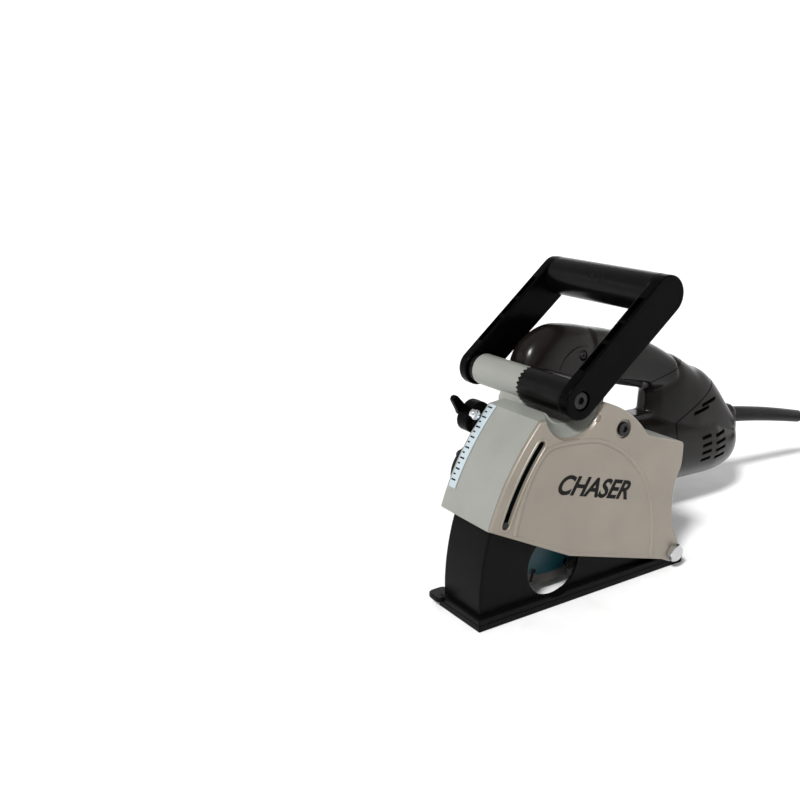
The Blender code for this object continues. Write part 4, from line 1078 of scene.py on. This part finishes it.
# ---- cord guard ----
def add_guard():
    """The tapered strain relief, with its tip drawn in."""
    route = [(350.0, 78.3), (372.0, 76.1), (410.0, 69.5), (444.0, 62.4), (474.0, 55.5)]
    path = spline([(x, MOTOR_SIDE, z) for x, z in route], 14)
    last = len(path) - 1
    radii = [8.0 - 2.0 * i / last for i in range(last + 1)]
    radii[-1] -= 0.5
    done(sweep("cord_sleeve", path, radii, TOOL, RUBBER, 40), "tool", "black_rubber", "cord_guard")


add_guard()


# ---- inner pieces that keep their CAD shape ----
PLAIN = [
    (DARK_STEEL, ["guide_pin", "lock_nut"]),
    (STEEL, ["spindle", "inner_flange", "wheel_spacer", "crown_gear", "pinion", "armature_shaft"]),
    (STEEL, ["spindle_bearing", "needle_bearing", "front_bearing", "rear_bearing", "return_spring"]),
    (IRON, ["armature_core", "field_stator"]),
    (COPPER, ["commutator"]),
    (CARBON, ["brush_left", "brush_right"]),
    (PLASTIC, ["motor_fan"]),
    (GRIPPY, ["switch_unit"]),
]
for mat, nodes in PLAIN:
    for node in nodes:
        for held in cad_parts[node].material_slots:
            held.material = mat


# ---- studio ----
BOWL_SIDES, BOWL_FLAT, BOWL_RISE, BOWL_TOP = 96, 2.6, 1.5, 2.1
FLOOR_DROP = 0.0002
ROOM_LIGHT = 0.42
LAMP_WIDTH = 9.0
LAMPS = [("key", (-0.62, -0.38, 0.69), 3.7), ("fill", (0.0, -0.95, 0.32), 1.1)]


def add_bowl():
    """White paper that rises all round the tool, in metres."""
    bm = bmesh.new()
    bends = [pi / 2 * i / 20 for i in range(21)]
    profile = [(BOWL_FLAT + BOWL_RISE * sin(bend), BOWL_RISE * (1 - cos(bend))) for bend in bends]
    profile.append((BOWL_FLAT + BOWL_RISE, BOWL_TOP))
    turns = [2 * pi * i / BOWL_SIDES for i in range(BOWL_SIDES)]
    rows = [[bm.verts.new((far * cos(turn), far * sin(turn), up)) for turn in turns] for far, up in profile]
    bm.faces.new(rows[0])
    for low, high in zip(rows, rows[1:]):
        for i in range(BOWL_SIDES):
            j = (i + 1) % BOWL_SIDES
            bm.faces.new((low[i], low[j], high[j], high[i]))
    bmesh.ops.recalc_face_normals(bm, faces=bm.faces)
    bm.faces.ensure_lookup_table()
    if bm.faces[0].normal.z < 0:
        bmesh.ops.reverse_faces(bm, faces=bm.faces)
    mesh = bpy.data.meshes.new("floor")
    bm.to_mesh(mesh)
    bm.free()
    mesh.polygons.foreach_set("use_smooth", [True] * len(mesh.polygons))
    mesh.materials.append(
        surface("floor_paper", grey(0.88), 0.8, grain_size=0.5, rough_vary=0.0, shine=0.2)
    )
    floor = linked("floor", mesh)
    floor.location.z = -FLOOR_DROP


def add_studio():
    """The paper bowl under two broad lamps, in a pale room."""
    add_bowl()
    world = bpy.data.worlds.new("studio")
    scene.world = world
    world.use_nodes = True
    background = world.node_tree.nodes["Background"]
    background.inputs["Color"].default_value = (1.0, 1.0, 1.0, 1.0)
    background.inputs["Strength"].default_value = ROOM_LIGHT
    for name, way, power in LAMPS:
        lamp = bpy.data.lights.new(name, "SUN")
        lamp.energy = power
        lamp.angle = radians(LAMP_WIDTH)
        holder = linked(name, lamp)
        holder.rotation_euler = Vector(way).to_track_quat("Z", "Y").to_euler()
    scene.view_settings.view_transform = "Standard"


add_studio()
